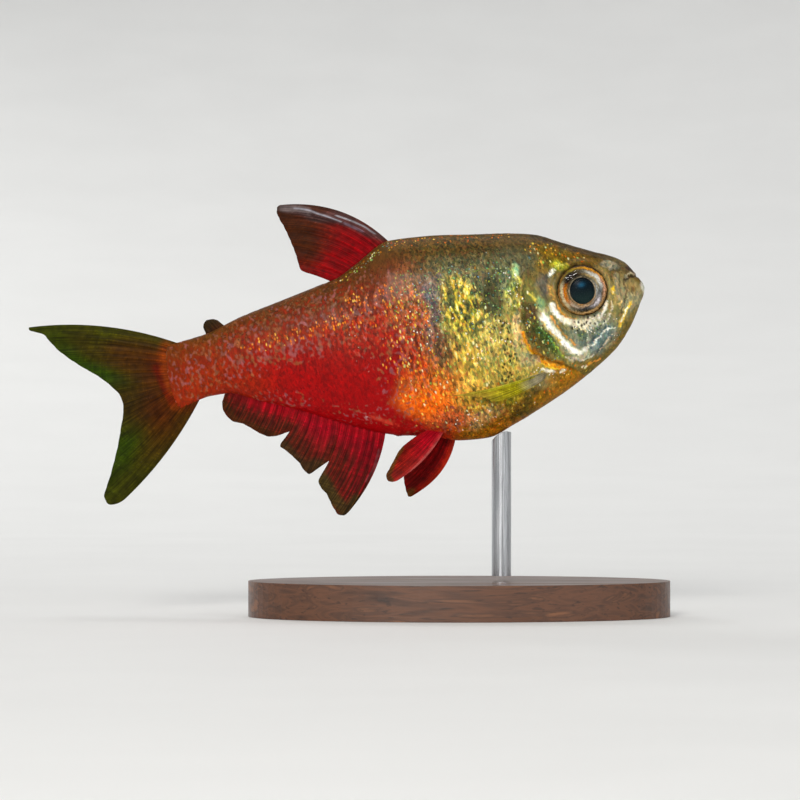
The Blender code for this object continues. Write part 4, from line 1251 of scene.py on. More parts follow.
@dataclass
class Scales:
    """The coat of scales behind the head: rows of thin plates that overlap towards the tail."""

    flesh: Flesh
    spacing: float = 0.68
    row_height: float = 1.12
    stalk_row_share: float = 0.74
    plate_length: float = 1.5
    overlap: float = 1.28
    thickness: float = 0.02
    roundness: float = 0.86
    fan: float = 0.22
    rear_shift: float = 0.25
    lift_power: float = 1.3
    rear_lift: float = 0.01
    front_sink: float = 0.03
    edge_shade: float = 0.12
    tones: tuple = (0.94, 1.06)
    cells: int = 5
    first_x: float = 0.35
    coat_length: float = 24.5
    rows_each_side: int = 9
    jitter: float = 0.03
    gill_gap: float = 0.1
    map_length: float = 26.0
    map_girth: float = 16.0
    patch: float = 0.003
    seed: int = 5

    def girth_table(self) -> tuple:
        """Measures the way round one side from the widest place, for many places along the fish."""
        xs = np.linspace(0.5, 25.0, 120)
        angles = np.linspace(0.02, math.pi - 0.02, 160)
        runs = [way_along(self.flesh.body.point(np.full(len(angles), x), angles)) for x in xs]
        return xs, angles, np.array([run - np.interp(math.pi / 2, angles, run) for run in runs])

    def angle_at(self, table: tuple, x: Array, arc: Array) -> Array:
        """Turns a way round the side into an angle.

        Args:
            table: the girth table.
            x: places along the fish.
            arc: ways round from the widest place, below it positive.

        Returns:
            The angles there.
        """
        xs, angles, arcs = table
        at = np.clip(np.interp(x, xs, np.arange(len(xs))), 0, len(xs) - 1)
        low = np.floor(at).astype(int)
        high = np.minimum(low + 1, len(xs) - 1)
        share = (at - low)[:, None]
        rows = arcs[low] * (1 - share) + arcs[high] * share
        return np.array([np.interp(way, row, angles) for way, row in zip(arc, rows)])

    def template(self) -> bpy.types.Mesh:
        """One flat plate to copy: a gridded upper side at height 0, a rim, and a plain underside at -1."""
        bm = bmesh.new()
        bmesh.ops.create_grid(bm, x_segments=self.cells, y_segments=self.cells, size=1.0)
        made = bmesh.ops.extrude_edge_only(bm, edges=[edge for edge in bm.edges if edge.is_boundary])
        lower = [item for item in made["geom"] if isinstance(item, bmesh.types.BMVert)]
        bmesh.ops.translate(bm, verts=lower, vec=(0, 0, -1))
        bmesh.ops.holes_fill(bm, edges=[edge for edge in bm.edges if edge.is_boundary], sides=0)
        mesh = bpy.data.meshes.new("scale_template")
        bm.to_mesh(mesh)
        bm.free()
        return mesh

    def build(self) -> None:
        """Builds the scales of each side as one joined mesh."""
        table = self.girth_table()
        plate = self.template()
        draw = np.random.default_rng(self.seed)
        spots = self.layout(table, draw)
        for side, word in SIDES:
            self.build_side(side, word, spots, table, plate, draw)
        bpy.data.meshes.remove(plate)

    def layout(self, table: tuple, draw: np.random.Generator) -> list:
        """Chooses each plate's middle as (x, way round, row height)."""
        xs, _, arcs = table
        spots = []
        for column in range(int(self.coat_length / self.spacing)):
            x_column = self.first_x + self.spacing * column
            wide = float(smooth_step(2.0, 12.0, x_column))
            height = self.row_height * (self.stalk_row_share + (1 - self.stalk_row_share) * wide)
            for row in range(-self.rows_each_side, self.rows_each_side + 1):
                x = x_column + self.spacing * 0.5 * (row % 2) + draw.uniform(-self.jitter, self.jitter)
                arc = row * height + draw.uniform(-self.jitter, self.jitter)
                top, bottom = (np.interp(x, xs, arcs[:, end]) for end in (0, -1))
                if top + 0.15 * height < arc < bottom - 0.15 * height:
                    spots.append((x, arc, height))
        return spots

    def build_side(self, side: int, word: str, spots: list, table: tuple, plate: bpy.types.Mesh,
                   draw: np.random.Generator) -> None:
        """Builds the plates of one side.

        Args:
            side: -1 for the right side and 1 for the left.
            word: the side's name.
            spots: the plates' middles.
            table: the girth table.
            plate: the flat plate that is copied.
            draw: gives each plate its own shade.
        """
        corners = np.array([vert.co[:] for vert in plate.vertices])
        count = len(corners)
        along, across, under = (np.tile(corners[:, i], len(spots)) for i in range(3))
        spot_x, spot_arc, row_height = (np.repeat([spot[i] for spot in spots], count) for i in range(3))
        half_height = row_height * self.overlap / 2
        bulge = np.sqrt(np.maximum(0.0, 1 - across ** 2 * self.roundness))
        rearward = np.where(along > 0, along * bulge, along)
        fan = 1 - self.fan * np.maximum(0, -along)
        x = spot_x + self.rear_shift - rearward * self.plate_length / 2
        angle = self.angle_at(table, x, spot_arc + across * half_height * fan)
        rear = (along + 1) / 2
        lift = (self.rear_lift + self.front_sink) * rear ** self.lift_power - self.front_sink
        lift += under * self.thickness
        places, smooth = self.flesh.surface(np.clip(x, 0.05, self.map_length), side * angle, lift)
        keep = self.behind_gill(smooth, len(spots), count)
        plates = int(keep.sum() / count)
        bm = bmesh.new()
        for _ in range(plates):
            bm.from_mesh(plate)
        place_all(bm, self.flesh.pose.to_world(places[keep]))
        piece = Piece("tetra_scales_" + word, bm)
        along, across, under, spot_x, spot_arc = (
            row[keep] for row in (along, across, under, spot_x, spot_arc))
        tone = np.repeat(draw.uniform(*self.tones, plates), count)
        edge = np.maximum(np.abs(across) ** 3, np.maximum(0, along) ** 4)
        paint_skin(piece, self.flesh, smooth[keep], (1 - self.edge_shade * edge) * tone)
        u = spot_x / self.map_length + along * self.patch / 2
        v = spot_arc / self.map_girth + 0.5 + across * self.patch / 2 + under * self.patch * 1.2
        piece.unwrap(np.stack([0.01 + u * 0.97, 0.01 + v * 0.97], axis=1))
        piece.finish(FishSkinFinish("tetra_scale_finish", "gold_flank", 0.08), crease_deg=50.0)

    def behind_gill(self, smooth: Array, plates: int, count: int) -> Array:
        """Marks the points of those plates that lie wholly behind the gill cover's edge."""
        ahead = smooth[:, 0] - self.flesh.markings.gill_edge_at(smooth[:, 2])
        clear = ahead.reshape(plates, count).max(axis=1) < self.gill_gap
        return np.repeat(clear, count)


@dataclass(frozen=True)
class Lobe:
    """A stretch of a fin's edge: the share of the rays that reach it, and its outline as (x, z) points."""

    rays_to: float
    edge: tuple


@dataclass(frozen=True)
class FinShape:
    """A fin's outline, rays and thickness. Roots and edges run from the leading ray to the last."""

    name: str
    root: tuple
    lobes: tuple
    rays: int
    bow: tuple = (0.0, 0.0)
    notches: tuple = ()
    root_y: float = 0.0
    edge_y: tuple = (0.0, 0.0)
    branch_at: tuple = (0.42, 0.74)
    plain_rays: int = 2
    ripple: float = 0.06
    sink: float = 0.6
    ray_width: float = 0.15
    cells_per_ray: int = 12
    rows: int = 64


@dataclass(frozen=True)
class FinPaint:
    """A fin's colours on a screen: at its root, at its edge, at the leading rays and at the last.

    Through gives (way down, share) pairs: how much of the flank's colours shows through the fin. Gap is
    the colour that the membrane takes between the rays further out.
    """

    root: tuple
    edge: tuple
    lead: tuple
    rear: tuple
    ray_light: float = 1.25
    gap_light: float = 0.7
    patches: tuple = ()
    nodes: tuple = ()
    through: tuple = ((0.0, 0.0),)
    gap: tuple = ()


@dataclass
class Fin:
    """A fin as one thin closed membrane with branching rays."""

    flesh: Flesh
    shape: FinShape
    paint: FinPaint
    look: FinFinish
    membrane: float = 0.05
    ray_height: float = 0.075
    forks: tuple = (0.23, 0.11)
    fork_run: tuple = (0.22, 0.2)
    ray_narrowing: float = 0.47
    ray_flattening: float = 0.55
    edge_thinning: float = 0.6
    rim_share: float = 0.35
    scallop: float = 0.006
    spread_power: float = 0.8
    pleat: float = 0.6
    notch_width: float = 0.35
    rim_cells: float = 8.0
    lead_width: float = 0.14
    rear_width: float = 0.2
    lead_strength: float = 0.85
    rear_strength: float = 0.7
    gap_strength: float = 0.65
    ray_swing: float = 0.18
    ray_beat: float = 2.4

    def root_point(self, share: Array) -> Array:
        """Where the ray at this share of all the rays starts, as (x, z)."""
        places = np.linspace(0, 1, len(self.shape.root))
        x = np.interp(share, places, [point[0] for point in self.shape.root])
        level = self.shape.root[0][1]
        if level == "back":
            z = smooth_curve(self.flesh.body.back, x) - self.shape.sink
        elif level == "belly":
            z = smooth_curve(self.flesh.body.belly, x) + self.shape.sink
        else:
            z = np.interp(share, places, [point[1] for point in self.shape.root])
        return np.stack([x, z], axis=1)

    def edge_point(self, share: Array) -> Array:
        """The point of the fin's edge that the ray at this share reaches, as (x, z)."""
        tips = np.zeros((len(share), 2))
        start = 0.0
        for lobe in self.shape.lobes:
            outline = np.array(lobe.edge)
            runs = way_along(outline)
            at = np.clip((share - start) / (lobe.rays_to - start), 0, 1) * runs[-1]
            here = np.stack([smooth_curve(tuple(zip(runs, outline[:, i])), at) for i in range(2)], axis=1)
            inside = share >= start - 1e-9
            tips[inside] = here[inside]
            start = lobe.rays_to
        for lobe, notch in zip(self.shape.lobes, self.shape.notches):
            near = hump(share - lobe.rays_to, self.notch_width / self.shape.rays)
            tips += (np.array(notch) - tips) * near[:, None]
        return tips

    def net(self) -> tuple:
        """The fin's flat net: its bmesh, and each vertex's share of the rays, way down and side."""
        columns = (self.shape.rays - 1) * self.shape.cells_per_ray
        bm = bmesh.new()
        bmesh.ops.create_grid(bm, x_segments=columns, y_segments=self.shape.rows, size=0.5)
        bmesh.ops.extrude_face_region(bm, geom=bm.faces[:])
        flat = positions(bm)
        share = np.round((flat[:, 0] + 0.5) * columns) / columns
        down = np.clip(flat[:, 1] + 0.5, 0, 1)
        half = len(flat) // 2
        side = np.where(np.arange(len(flat)) < half, -1.0, 1.0)
        return bm, share, down, side

    def ray_profile(self, share: Array, down: Array) -> Array:
        """How much each place belongs to a ray, from 0 on the membrane to 1 on a ray's crest."""
        number = share * (self.shape.rays - 1)
        ray = np.round(number)
        off = number - ray
        forked = ray >= self.shape.plain_rays
        fork, fork_again = (reach * forked * smooth_step(start, start + run, down)
                            for reach, start, run in zip(self.forks, self.shape.branch_at, self.fork_run))
        narrow = self.ray_narrowing * smooth_step(self.shape.branch_at[0], 1.0, down)
        width = self.shape.ray_width * (1 - narrow)
        crest = np.zeros(len(share))
        for one, two in itertools.product((-1, 1), repeat=2):
            crest = np.maximum(crest, hump(off - one * fork - two * fork_again, width))
        return crest

    def build(self, replaces: tuple) -> None:
        """Builds and dresses the fin.

        Args:
            replaces: the solids' node that it stands for.
        """
        shape = self.shape
        bm, share, down, side = self.net()
        root = self.root_point(share)
        tip = self.edge_point(share)
        number = share * (shape.rays - 1)
        between = np.abs(number - np.round(number)) * 2
        tip = root + (tip - root) * (1 - self.scallop * between ** 2)[:, None]
        run = tip - root
        across = np.stack([run[:, 1], -run[:, 0]], axis=1)
        bow = np.interp(share, np.linspace(0, 1, len(shape.bow)), shape.bow)
        flat = root + run * down[:, None] + across * (bow * 4 * down * (1 - down))[:, None]
        edge_y = shape.edge_y[0] + (shape.edge_y[1] - shape.edge_y[0]) * share
        y = shape.root_y + (edge_y - shape.root_y) * down ** self.spread_power
        y = y + shape.ripple * down * np.sin(number * math.pi) * self.pleat
        wave = waves(np.stack([flat[:, 0], 0 * y, flat[:, 1]], axis=1), (2.2, 2.2, 31))
        y = y + shape.ripple * down ** 1.5 * wave
        crest = self.ray_profile(share, down)
        thin = 1 - self.edge_thinning * smooth_step(0.75, 1.0, down)
        thick = (self.membrane / 2 + self.ray_height * crest * (1 - self.ray_flattening * down)) * thin
        rim = np.minimum(np.minimum(share, 1 - share) * shape.rays, (1 - down) * self.rim_cells)
        thick *= self.rim_share + (1 - self.rim_share) * np.clip(rim * 2, 0, 1)
        middle = np.stack([flat[:, 0], y, flat[:, 1]], axis=1)
        places = middle + np.stack([0 * y, side * thick, 0 * y], axis=1)
        place_all(bm, self.flesh.pose.to_world(places))
        piece = Piece("tetra_" + shape.name, bm)
        reach = np.linalg.norm(run, axis=1)
        piece.colours("tint", self.colours(share, down, crest, middle))
        piece.vectors("place", middle)
        piece.vectors("net", np.stack([number, down * reach, 0 * y], axis=1))
        piece.colours("ray", np.repeat(crest[:, None], 3, axis=1))
        u = share * 0.96 + 0.02
        v = np.where(side > 0, 0.52, 0.02) + down * 0.44
        piece.unwrap(np.stack([u, v], axis=1))
        piece.finish(self.look, replaces)

    def colours(self, share: Array, down: Array, crest: Array, middle: Array) -> Array:
        """Works out the fin's colours.

        Args:
            share: each point's share of the rays.
            down: how far from root to edge it lies.
            crest: how much it belongs to a ray.
            middle: its place.

        Returns:
            Rows of linear colour.
        """
        paint = self.paint
        wander = waves(middle, (0.5, 1.4, 41))
        colour = np.tile(linear(*paint.root), (len(share), 1))
        blend(colour, paint.edge, smooth_step(0.15, 0.85, down + wander * 0.5))
        blend(colour, paint.lead, self.lead_strength * hump(share, self.lead_width))
        blend(colour, paint.rear, self.rear_strength * hump(1 - share, self.rear_width))
        for spot in paint.patches:
            slip = wander * spot.looseness
            amount = spot.shape.mask(middle[:, 0] + slip, middle[:, 2] + slip) * spot.strength
            blend(colour, spot.colour, amount)
        places, shares = zip(*paint.through)
        if max(shares) > 0:
            behind = self.flesh.markings.tint(self.flesh.body, middle)
            blend(colour, behind, np.interp(down, places, shares))
        if paint.gap:
            outwards = smooth_step(0.25, 0.7, down + 0.6 * wander)
            blend(colour, paint.gap, self.gap_strength * (1 - crest) * outwards)
        number = np.round(share * (self.shape.rays - 1))
        varied = 1 + self.ray_swing * np.sin(number * self.ray_beat) * (1 - 0.5 * down)
        light = paint.gap_light + (paint.ray_light - paint.gap_light) * crest
        return np.clip(colour * (varied * light)[:, None], 0.0, 1.0)


@dataclass(frozen=True)
class Arc:
    """A soft arc of colour on the iris; its angle is 0 towards the snout and 90 at the top."""

    colour: tuple
    radius: float
    width: float
    angle: float = 0.0
    reach: float = 1000.0
    strength: float = 1.0


IRIS = tuple(Arc(*row) for row in (
    ((84, 88, 78), 1.0, 0.2), ((74, 60, 38), 0.98, 0.12, 88, 30, 0.8),
    ((120, 134, 118), 1.16, 0.16, 222, 24, 0.9), ((52, 64, 74), 1.13, 0.1, -98, 38, 0.95),
    ((80, 102, 116), 1.1, 0.09, -4, 24, 0.95), ((214, 222, 220), 0.93, 0.06, -8, 32, 0.95),
    ((232, 190, 96), 1.02, 0.07, 40, 34, 0.9), ((255, 252, 240), 1.2, 0.12, 34, 27, 1.9),
    ((255, 240, 190), 1.3, 0.13, 186, 38, 1.9), ((150, 130, 60), 0.92, 0.05, 180, 40, 0.8),
    ((236, 136, 20), 1.08, 0.1, 176, 46, 1.6), ((252, 244, 250), 1.12, 0.12, -48, 20, 1.3),
    ((50, 46, 46), 1.02, 0.05, -52, 24, 0.9), ((238, 196, 150), 0.95, 0.06, -95, 46, 0.9),
    ((240, 232, 206), 1.06, 0.05, 230, 18, 0.8), ((40, 34, 24), 1.25, 0.08, -98, 44, 0.7),
    ((150, 112, 56), 1.42, 0.07), ((170, 176, 54), 1.4, 0.05, 108, 24, 0.9),
    ((255, 176, 44), 1.42, 0.08, 46, 44, 1.5), ((250, 184, 150), 1.37, 0.08, 0, 28, 1.1),
    ((226, 150, 62), 1.45, 0.04, 182, 50, 0.9), ((240, 190, 120), 1.38, 0.06, -90, 56, 1.1),
    ((56, 42, 28), 1.53, 0.035), ((66, 50, 34), 0.885, 0.03, 170, 70, 0.7), ((214, 194, 158), 0.81, 0.035),
    ((240, 160, 60), 0.82, 0.035, -92, 60, 0.9), ((22, 16, 10), 1.12, 0.2, 126, 24, 1.6),
    ((30, 22, 14), 1.0, 0.12, 104, 18, 1.0),
))


@dataclass(frozen=True)
class EyeShades:
    """The eye's colours on a screen: plain ones under the iris's arcs, at the rim and in the pupil, and a
    painted blue highlight in the pupil.
    """

    iris: tuple = (110, 96, 58)
    rim: tuple = (52, 40, 28)
    pupil: tuple = (10, 22, 28)
    pupil_below: tuple = (26, 44, 42)
    # a painted highlight: the blue glint of a reflection on the lens
    pupil_highlight: tuple = (34, 92, 124)


@dataclass
class Eye:
    """One eye: a ball with a bulging pupil and a painted iris, under a clear cornea."""

    flesh: Flesh
    side: int
    word: str
    radius: float = 1.56
    pupil: float = 0.75
    steps: int = 144
    bottom: float = 1.1
    top: float = 2.0
    pupil_swell: tuple = (0.03, 0.1)
    iris_level: float = 1.86
    iris_swell: tuple = (0.03, 0.22)
    cornea_share: float = 0.97
    cornea_height: float = 0.3
    cornea_wall: float = 0.05
    cornea_sink: float = 0.12
    rim_from: float = 1.5
    shades: EyeShades = EyeShades()

    def ball_profile(self) -> list:
        """The ball's (radius, way out) points from the pupil's middle to the rim and back under it."""
        swell, fall = self.pupil_swell
        middle = [(self.pupil * t, self.top + swell - fall * t ** 2) for t in np.linspace(0, 1, 13)]
        swell, fall = self.iris_swell
        iris = [(self.pupil + (self.radius - self.pupil) * t,
                 self.iris_level + swell * math.sin(math.pi * t) - fall * t ** 3)
                for t in np.linspace(0, 1, 40)[1:]]
        return middle + iris + [(self.radius, self.bottom + 0.2), (self.radius * 0.9, self.bottom)]

    def spin(self, profile: list) -> bmesh.types.BMesh:
        """Turns a profile round the eye's axis and closes it at the back."""
        bm = spun(profile, self.steps)
        bmesh.ops.holes_fill(bm, edges=[edge for edge in bm.edges if edge.is_boundary], sides=0)
        return bm

    def settle(self, turned: Array) -> Array:
        """Sets points round the eye's axis into the head, in the fish's frame."""
        across, up, out = turned[:, 0], turned[:, 1], turned[:, 2]
        return np.stack([EYE_CENTRE[0] + across, self.side * out, EYE_CENTRE[1] + up], axis=1)

    def build(self) -> None:
        """Builds the ball and the cornea."""
        bm = self.spin(self.ball_profile())
        turned = positions(bm)
        place = self.settle(turned)
        place_all(bm, self.flesh.pose.to_world(place))
        ball = Piece("tetra_eye_" + self.word, bm)
        radius = np.hypot(turned[:, 0], turned[:, 1])
        round_it = np.degrees(np.arctan2(turned[:, 1], turned[:, 0]))
        tint, metal = self.iris(radius, round_it, place)
        ball.colours("tint", tint)
        ball.vectors("place", place)
        ball.colours("shine", np.repeat(metal[:, None], 3, axis=1))
        ball.finish(EyeFinish(), ("eye_" + self.word,))

        cover = [(self.radius * self.cornea_share * math.sin(t),
                  self.iris_level - self.cornea_sink + self.cornea_height * math.cos(t))
                 for t in np.linspace(0, math.pi / 2, 18)]
        under = [(r, out - self.cornea_wall) for r, out in reversed(cover[:-1])]
        bm = self.spin(cover + under)
        place = self.settle(positions(bm))
        place_all(bm, self.flesh.pose.to_world(place))
        cornea = Piece("tetra_cornea_" + self.word, bm)
        cornea.vectors("place", place)
        cornea.finish(CorneaFinish())

    def iris(self, radius: Array, round_it: Array, place: Array) -> tuple:
        """Paints the ball.

        Args:
            radius: each point's distance from the eye's axis.
            round_it: its angle, 0 towards the snout and 90 at the top.
            place: its place in the fish's frame.

        Returns:
            Rows of linear colour, and how metallic each point is.
        """
        wobble = waves(place, (0.08, 0.3, 51), (0.09, 0.09, 52))
        r = radius + np.where(radius > self.pupil, wobble, 0.0)
        colour = np.tile(linear(*self.shades.iris), (len(r), 1))
        for arc in IRIS:
            away = (round_it - arc.angle + 180) % 360 - 180
            amount = arc.strength * hump(r - arc.radius, arc.width) * hump(away, arc.reach)
            blend(colour, arc.colour, np.clip(amount, 0, 1))
        outer = smooth_step(self.rim_from, self.radius, r)
        blend(colour, self.shades.rim, outer)
        up = place[:, 2] - EYE_CENTRE[1]
        teal = np.tile(linear(*self.shades.pupil), (len(r), 1))
        blend(teal, self.shades.pupil_below, smooth_step(0.2, -0.7, up))
        across = radius * np.cos(np.radians(round_it))
        # a painted blue highlight, standing in for a reflection on the lens, high in the pupil
        blend(teal, self.shades.pupil_highlight, 0.8 * hump(across, 0.2) * hump(up - 0.36, 0.14))
        edge = radius - 0.05 * (up / self.pupil) ** 2
        blend(colour, teal, smooth_step(self.pupil + 0.04, self.pupil, edge))
        metal = smooth_step(self.pupil, self.pupil + 0.05, radius) * (1 - outer)
        return np.clip(colour, 0, 1), metal


@dataclass
class Stand:
    """The oval base and the rod, which keep their solids' shapes."""

    looks: tuple = (("stand_base", WalnutFinish()), ("stand_rod", SteelFinish()))

    def build(self) -> None:
        """Gives the solids their wood and steel."""
        for node, look in self.looks:
            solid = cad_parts[node]
            for slot in solid.material_slots:
                slot.material = material_of(look)
            log.info("%s: dressed in %s", node, look.name)


@dataclass
class Studio:
    """A round pale sweep, soft lights and the camera."""

    floor_radius: float = 0.16
    wall_radius: float = 0.9
    wall_height: float = 1.0
    floor_steps: int = 96
    lens: float = 180.0
    sensor: float = 36.0
    air: tuple = (0.92, 0.94, 1.0)
    air_strength: float = 0.22

    def build(self) -> None:
        """Sets the stage."""
        self.sweep()
        self.light("key", (-0.1, -0.4, 0.22), 0.15, 1.45, (1.0, 0.98, 0.95))
        self.light("fill", (0.32, -0.34, 0.12), 0.3, 0.5, (0.96, 0.98, 1.0))
        self.light("top", (0.0, 0.06, 0.42), 0.3, 0.55)
        self.light("rim", (-0.25, 0.34, 0.2), 0.2, 0.4)
        self.light("wall", (0.0, 0.2, 0.5), 0.4, 1.2, at=(0.0, 0.8, 0.15))
        world = bpy.data.worlds.new("studio_air")
        world.use_nodes = True
        shade = world.node_tree.nodes["Background"]
        shade.inputs["Color"].default_value = (*self.air, 1.0)
        shade.inputs["Strength"].default_value = self.air_strength
        bpy.context.scene.world = world
        bpy.context.scene.view_settings.view_transform = "Standard"
        self.camera()

    def sweep(self) -> None:
        """Turns the floor and its rounded wall in one piece."""
        bend = self.wall_radius - self.floor_radius
        profile = [(0.0, 0.0), (self.floor_radius * 0.5, 0.0)]
        profile += [(self.floor_radius + bend * math.sin(t), bend * (1 - math.cos(t)))
                    for t in np.linspace(0, math.pi / 2, 14)]
        profile.append((self.wall_radius, self.wall_height))
        floor = Piece("studio_floor", spun(profile, self.floor_steps))
        floor.mesh.materials.append(PlainFinish("pale_floor", (226, 226, 224)).material())
        floor.mesh.shade_smooth()

    @staticmethod
    def light(name: str, place: tuple, size: float, power: float, colour: tuple = (1.0, 1.0, 1.0),
              at: tuple = (0.0, 0.0, 0.015)) -> None:
        """Adds a soft lamp.

        Args:
            name: the lamp's name.
            place: where it hangs, in metres.
            size: the width of its panel.
            power: its power in watts.
            colour: its colour.
            at: where it looks.
        """
        lamp = bpy.data.lights.new(name, "AREA")
        lamp.size = size
        lamp.energy = power
        lamp.color = colour
        holder = bpy.data.objects.new(name, lamp)
        holder.location = place
        holder.rotation_euler = (Vector(at) - Vector(place)).to_track_quat("-Z", "Y").to_euler()
        bpy.context.scene.collection.objects.link(holder)

    def camera(self) -> None:
        """Looks at the fish's right side from straight beside it, framed as in the photograph."""
        origin = Pose().origin
        middle = PHOTO_PIXELS / 2
        x = origin[0] + (middle - TAIL_BASE_PIXEL[0]) * MM_PER_PIXEL
        z = origin[2] + (TAIL_BASE_PIXEL[1] - middle) * MM_PER_PIXEL
        width = PHOTO_PIXELS * MM_PER_PIXEL
        away = width * self.lens / self.sensor
        data = bpy.data.cameras.new("camera")
        data.lens = self.lens
        data.sensor_width = self.sensor
        data.clip_start = 0.01
        camera = bpy.data.objects.new("camera", data)
        camera.location = (x * MM, -away * MM, z * MM)
        camera.rotation_euler = (math.pi / 2, 0.0, 0.0)
        bpy.context.scene.collection.objects.link(camera)
        bpy.context.scene.camera = camera


RED_FIN = FinFinish("red_fin_finish", "red_fin")
OLIVE_FIN = FinFinish("olive_fin_finish", "olive_fin")
GOLD_FIN = FinFinish("gold_fin_finish", "gold_fin", 0.3, 206)

PECTORAL_EDGE = ((16.9, -4.25), (18.2, -4.54), (19.1, -4.85), (19.3, -5.05), (19.85, -5.15), (20.6, -5.08))
PECTORAL_PAINT = FinPaint((196, 184, 40), (188, 176, 18), (255, 244, 70), (140, 134, 12), 2.2, 0.65,
                          paints(((255, 234, 200), 0.85, 22.6, -4.15, 0.8, 0.5, 20, 0.9),
                                 ((255, 236, 40), 1.0, ((22.2, -4.1), (20.9, -4.27), (19.3, -4.42)), 0.08)),
                          through=((0.0, 0.4), (0.22, 0.35), (0.4, 0.15), (0.55, 0.15), (0.8, 0.55),
                                   (1.0, 0.85)))

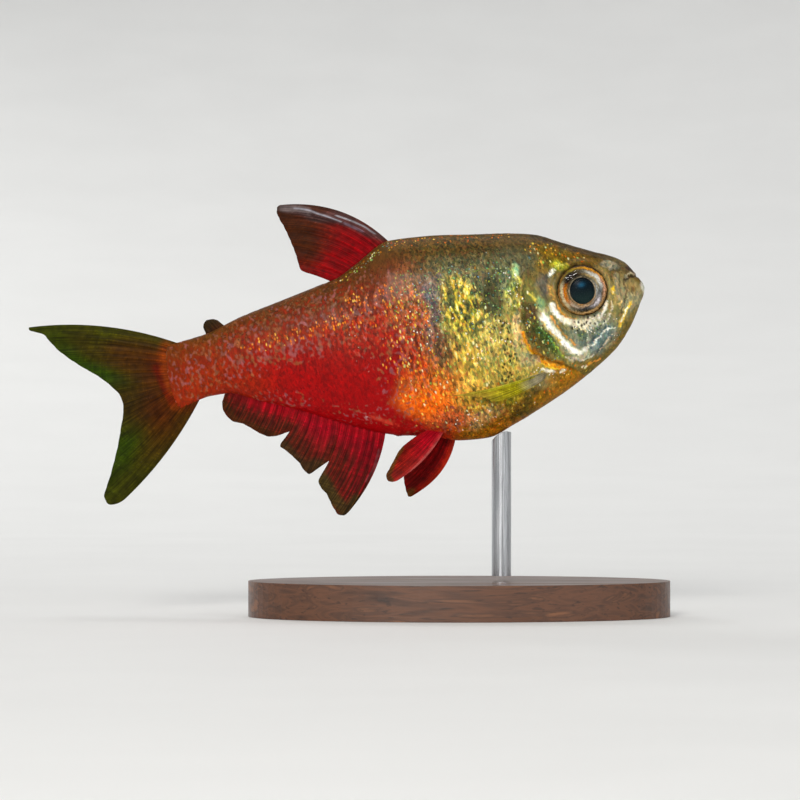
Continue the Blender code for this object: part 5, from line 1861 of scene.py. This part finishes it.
FINS = (
    (FinShape("dorsal_fin", ((15.4, "back"), (11.6, "back")), (
        Lobe(1.0, ((9.3, 9.27), (8.95, 9.32), (8.7, 9.2), (8.62, 8.95), (8.67, 8.6), (8.9, 7.9),
            (9.15, 6.85), (9.3, 5.95), (9.33, 5.5), (9.4, 5.14), (9.7, 4.9))),
    ), 11, (0.118, 0.03)),
     FinPaint((186, 6, 22), (84, 38, 10), (100, 62, 50), (170, 2, 8), 1.35, 0.75, paints(
        ((108, 80, 78), 0.75, ((14.6, 6.2), (13.4, 7.1), (11.6, 8.2), (9.2, 8.95)), 0.7),
        ((170, 152, 150), 0.7, ((10.6, 8.6), (9.6, 8.9), (8.9, 9.0)), 0.4, 0.7),
        ((226, 222, 234), 0.8, ((12.4, 7.55), (11.5, 8.16), (10.6, 8.67), (9.7, 8.94)), 0.1),
        ((60, 34, 40), 0.6, ((12.6, 7.25), (11.6, 7.9), (10.6, 8.42), (9.7, 8.7)), 0.09),
        ((196, 196, 204), 0.75, ((14.3, 6.44), (13.8, 7.0), (13.0, 7.52), (12.2, 7.97)), 0.1),
        ((176, 150, 170), 0.7, ((13.6, 6.75), (12.6, 7.4)), 0.14),
        ((176, 2, 12), 0.85, 11.8, 5.3, 1.9, 0.9, 32, 0.6),
     )), RED_FIN),
    (FinShape("adipose_fin", ((4.45, "back"), (2.95, "back")), (
        Lobe(1.0, ((3.75, 3.1), (3.45, 3.23), (3.12, 3.24), (2.9, 3.1), (2.79, 2.82), (2.86, 2.5))),
    ), 4, cells_per_ray=16, rows=24, ripple=0.0),
     FinPaint((104, 52, 22), (66, 46, 14), (96, 60, 24), (84, 48, 16), 1.0, 0.8,
              through=((0.0, 0.9), (0.2, 0.5), (0.5, 0.0))), OLIVE_FIN),
    (FinShape("anal_fin", ((12.75, "belly"), (3.5, "belly")), (
        Lobe(0.3, ((9.7, -9.85), (9.4, -10.1), (9.05, -10.24), (8.75, -10.1), (8.5, -9.5), (8.3, -8.75),
            (8.0, -8.2), (7.95, -7.88), (8.2, -7.5))),
        Lobe(0.54, ((8.3, -6.97), (7.8, -7.22), (7.48, -7.32), (7.2, -7.0), (7.0, -6.5), (6.7, -6.08),
            (6.37, -5.64), (5.95, -5.18), (6.1, -5.0))),
        Lobe(1.0, ((6.6, -4.5), (6.05, -4.62), (5.6, -4.6), (5.0, -4.29), (4.5, -3.85), (3.99, -3.45),
            (3.5, -3.24), (3.15, -2.8), (3.0, -2.3), (3.05, -1.9))),
    ), 24, (-0.075, -0.04), ((8.92, -6.72), (7.0, -4.5)), ray_width=0.22, cells_per_ray=10, rows=56),
     FinPaint((204, 8, 36), (118, 34, 18), (176, 8, 30), (104, 28, 8), 1.35, 0.6, paints(
        ((80, 74, 30), 0.85, ((10.0, -9.6), (9.2, -10.3), (8.5, -9.3), (8.0, -8.1)), 1.0),
        ((70, 60, 30), 0.75, ((8.0, -7.2), (7.2, -6.8), (6.2, -5.3)), 1.0),
        ((80, 50, 12), 0.6, ((5.9, -4.6), (4.9, -4.0), (3.5, -3.0), (3.1, -2.0)), 0.5),
        ((166, 6, 26), 0.7, 11.2, -6.9, 0.9, 1.6, -40, 0.6),
        ((190, 96, 104), 0.6, ((12.0, -6.7), (11.5, -7.7), (10.9, -8.4)), 0.16),
        ((206, 6, 30), 0.9, ((13.2, -6.1), (10.0, -4.75), (7.0, -3.2), (5.0, -2.3)), 0.8, 0.6),
     ), gap=(58, 46, 22)), RED_FIN),
    (FinShape("tail_fin", ((1.6, 1.85), (0.7, 0.9), (0.5, -0.2), (0.8, -0.9), (1.9, -1.25)), (
        Lobe(0.52, ((-7.98, 4.99), (-8.02, 4.86), (-7.6, 4.6), (-7.2, 4.4), (-6.93, 4.0), (-6.6, 3.44),
            (-5.86, 2.58), (-5.17, 1.92), (-4.25, 1.12), (-3.58, 0.37), (-3.12, -0.4), (-3.06, -0.8))),
        Lobe(1.0, ((-3.06, -0.8), (-3.13, -1.28), (-3.44, -2.15), (-3.82, -3.15), (-4.76, -5.12),
            (-5.17, -5.84), (-5.36, -6.28), (-5.33, -6.62), (-5.06, -6.84), (-4.65, -6.87), (-4.15, -6.7))),
    ), 19, (0.062, 0.02, 0.0, -0.02, -0.045), rows=80, plain_rays=1),
     FinPaint((112, 44, 4), (56, 82, 2), (74, 78, 4), (74, 62, 4), 1.3, 0.8, paints(
        ((78, 34, 6), 0.7, -2.4, -1.0, 1.6, 1.6, 0, 0.6), ((90, 44, 6), 0.5, -3.0, 2.0, 3.0, 0.8, -30, 0.6),
        ((216, 88, 14), 0.85, 0.2, 1.2, 0.6, 0.9, 0, 0.6),
        ((196, 80, 16), 0.8, 0.3, -0.7, 0.45, 1.0, 0, 0.6),
        ((130, 8, 2), 0.6, ((-0.6, 0.9), (-0.35, 0.2), (-0.2, -0.5), (0.1, -1.2)), 0.45, 0.9),
     ), ("tail_fin_upper", "tail_fin_lower"), ((0.0, 0.6), (0.1, 0.4), (0.18, 0.0))), OLIVE_FIN),
    (FinShape("pelvic_fin_right", ((16.15, -6.3), (15.1, -6.0)), (
        Lobe(1.0, ((13.0, -8.62), (12.7, -8.74), (12.42, -8.75), (12.17, -8.61), (12.12, -8.35),
            (12.41, -7.91), (12.83, -7.4), (13.15, -7.0), (13.5, -6.72))),
    ), 8, (-0.068, 0.02), root_y=-0.5, edge_y=(-1.7, -1.25), plain_rays=1),
     FinPaint((236, 8, 40), (176, 30, 16), (232, 84, 84), (176, 26, 14), 1.35, 0.7, paints(
        ((96, 80, 20), 0.7, ((12.4, -8.6), (12.25, -8.3), (12.9, -7.3), (13.4, -6.8)), 0.35),
        ((232, 120, 110), 0.6, ((15.6, -6.9), (14.6, -7.7), (13.6, -8.35)), 0.1),
     )), RED_FIN),
    (FinShape("pelvic_fin_left", ((16.95, -6.4), (15.3, -6.0)), (
        Lobe(1.0, ((13.6, -9.83), (13.38, -9.93), (13.22, -9.88), (13.15, -9.6), (13.13, -9.0),
            (13.2, -8.5), (13.8, -7.6))),
    ), 8, (-0.13, 0.0), root_y=0.5, edge_y=(1.5, 1.15), plain_rays=1),
     FinPaint((180, 4, 14), (146, 14, 14), (236, 60, 30), (150, 6, 12), 1.25, 0.8, paints(
        ((120, 92, 34), 0.7, 13.2, -9.85, 0.5, 0.25, 40),
     )), RED_FIN),
) + tuple(
    (FinShape("pectoral_fin_" + word, ((23.2, -3.8), (22.8, -4.35)), (Lobe(1.0, PECTORAL_EDGE),), 13,
              (-0.035, -0.02), root_y=side * 1.42, edge_y=(side * 2.3, side * 2.55), branch_at=(0.6, 0.9),
              ray_width=0.2, cells_per_ray=10, ripple=0.03), PECTORAL_PAINT, GOLD_FIN)
    for side, word in SIDES)


def main() -> None:
    """Builds the model in order and sets the stage."""
    logging.basicConfig(level=logging.INFO, format="%(message)s")
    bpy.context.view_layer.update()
    flesh = Flesh()
    Studio().build()
    Skin(flesh).build()
    Scales(flesh).build()
    for shape, paint, look in FINS:
        Fin(flesh, shape, paint, look).build(paint.nodes or (shape.name,))
    for side, word in SIDES:
        Eye(flesh, side, word).build()
    Stand().build()


if __name__ == "__main__":
    main()
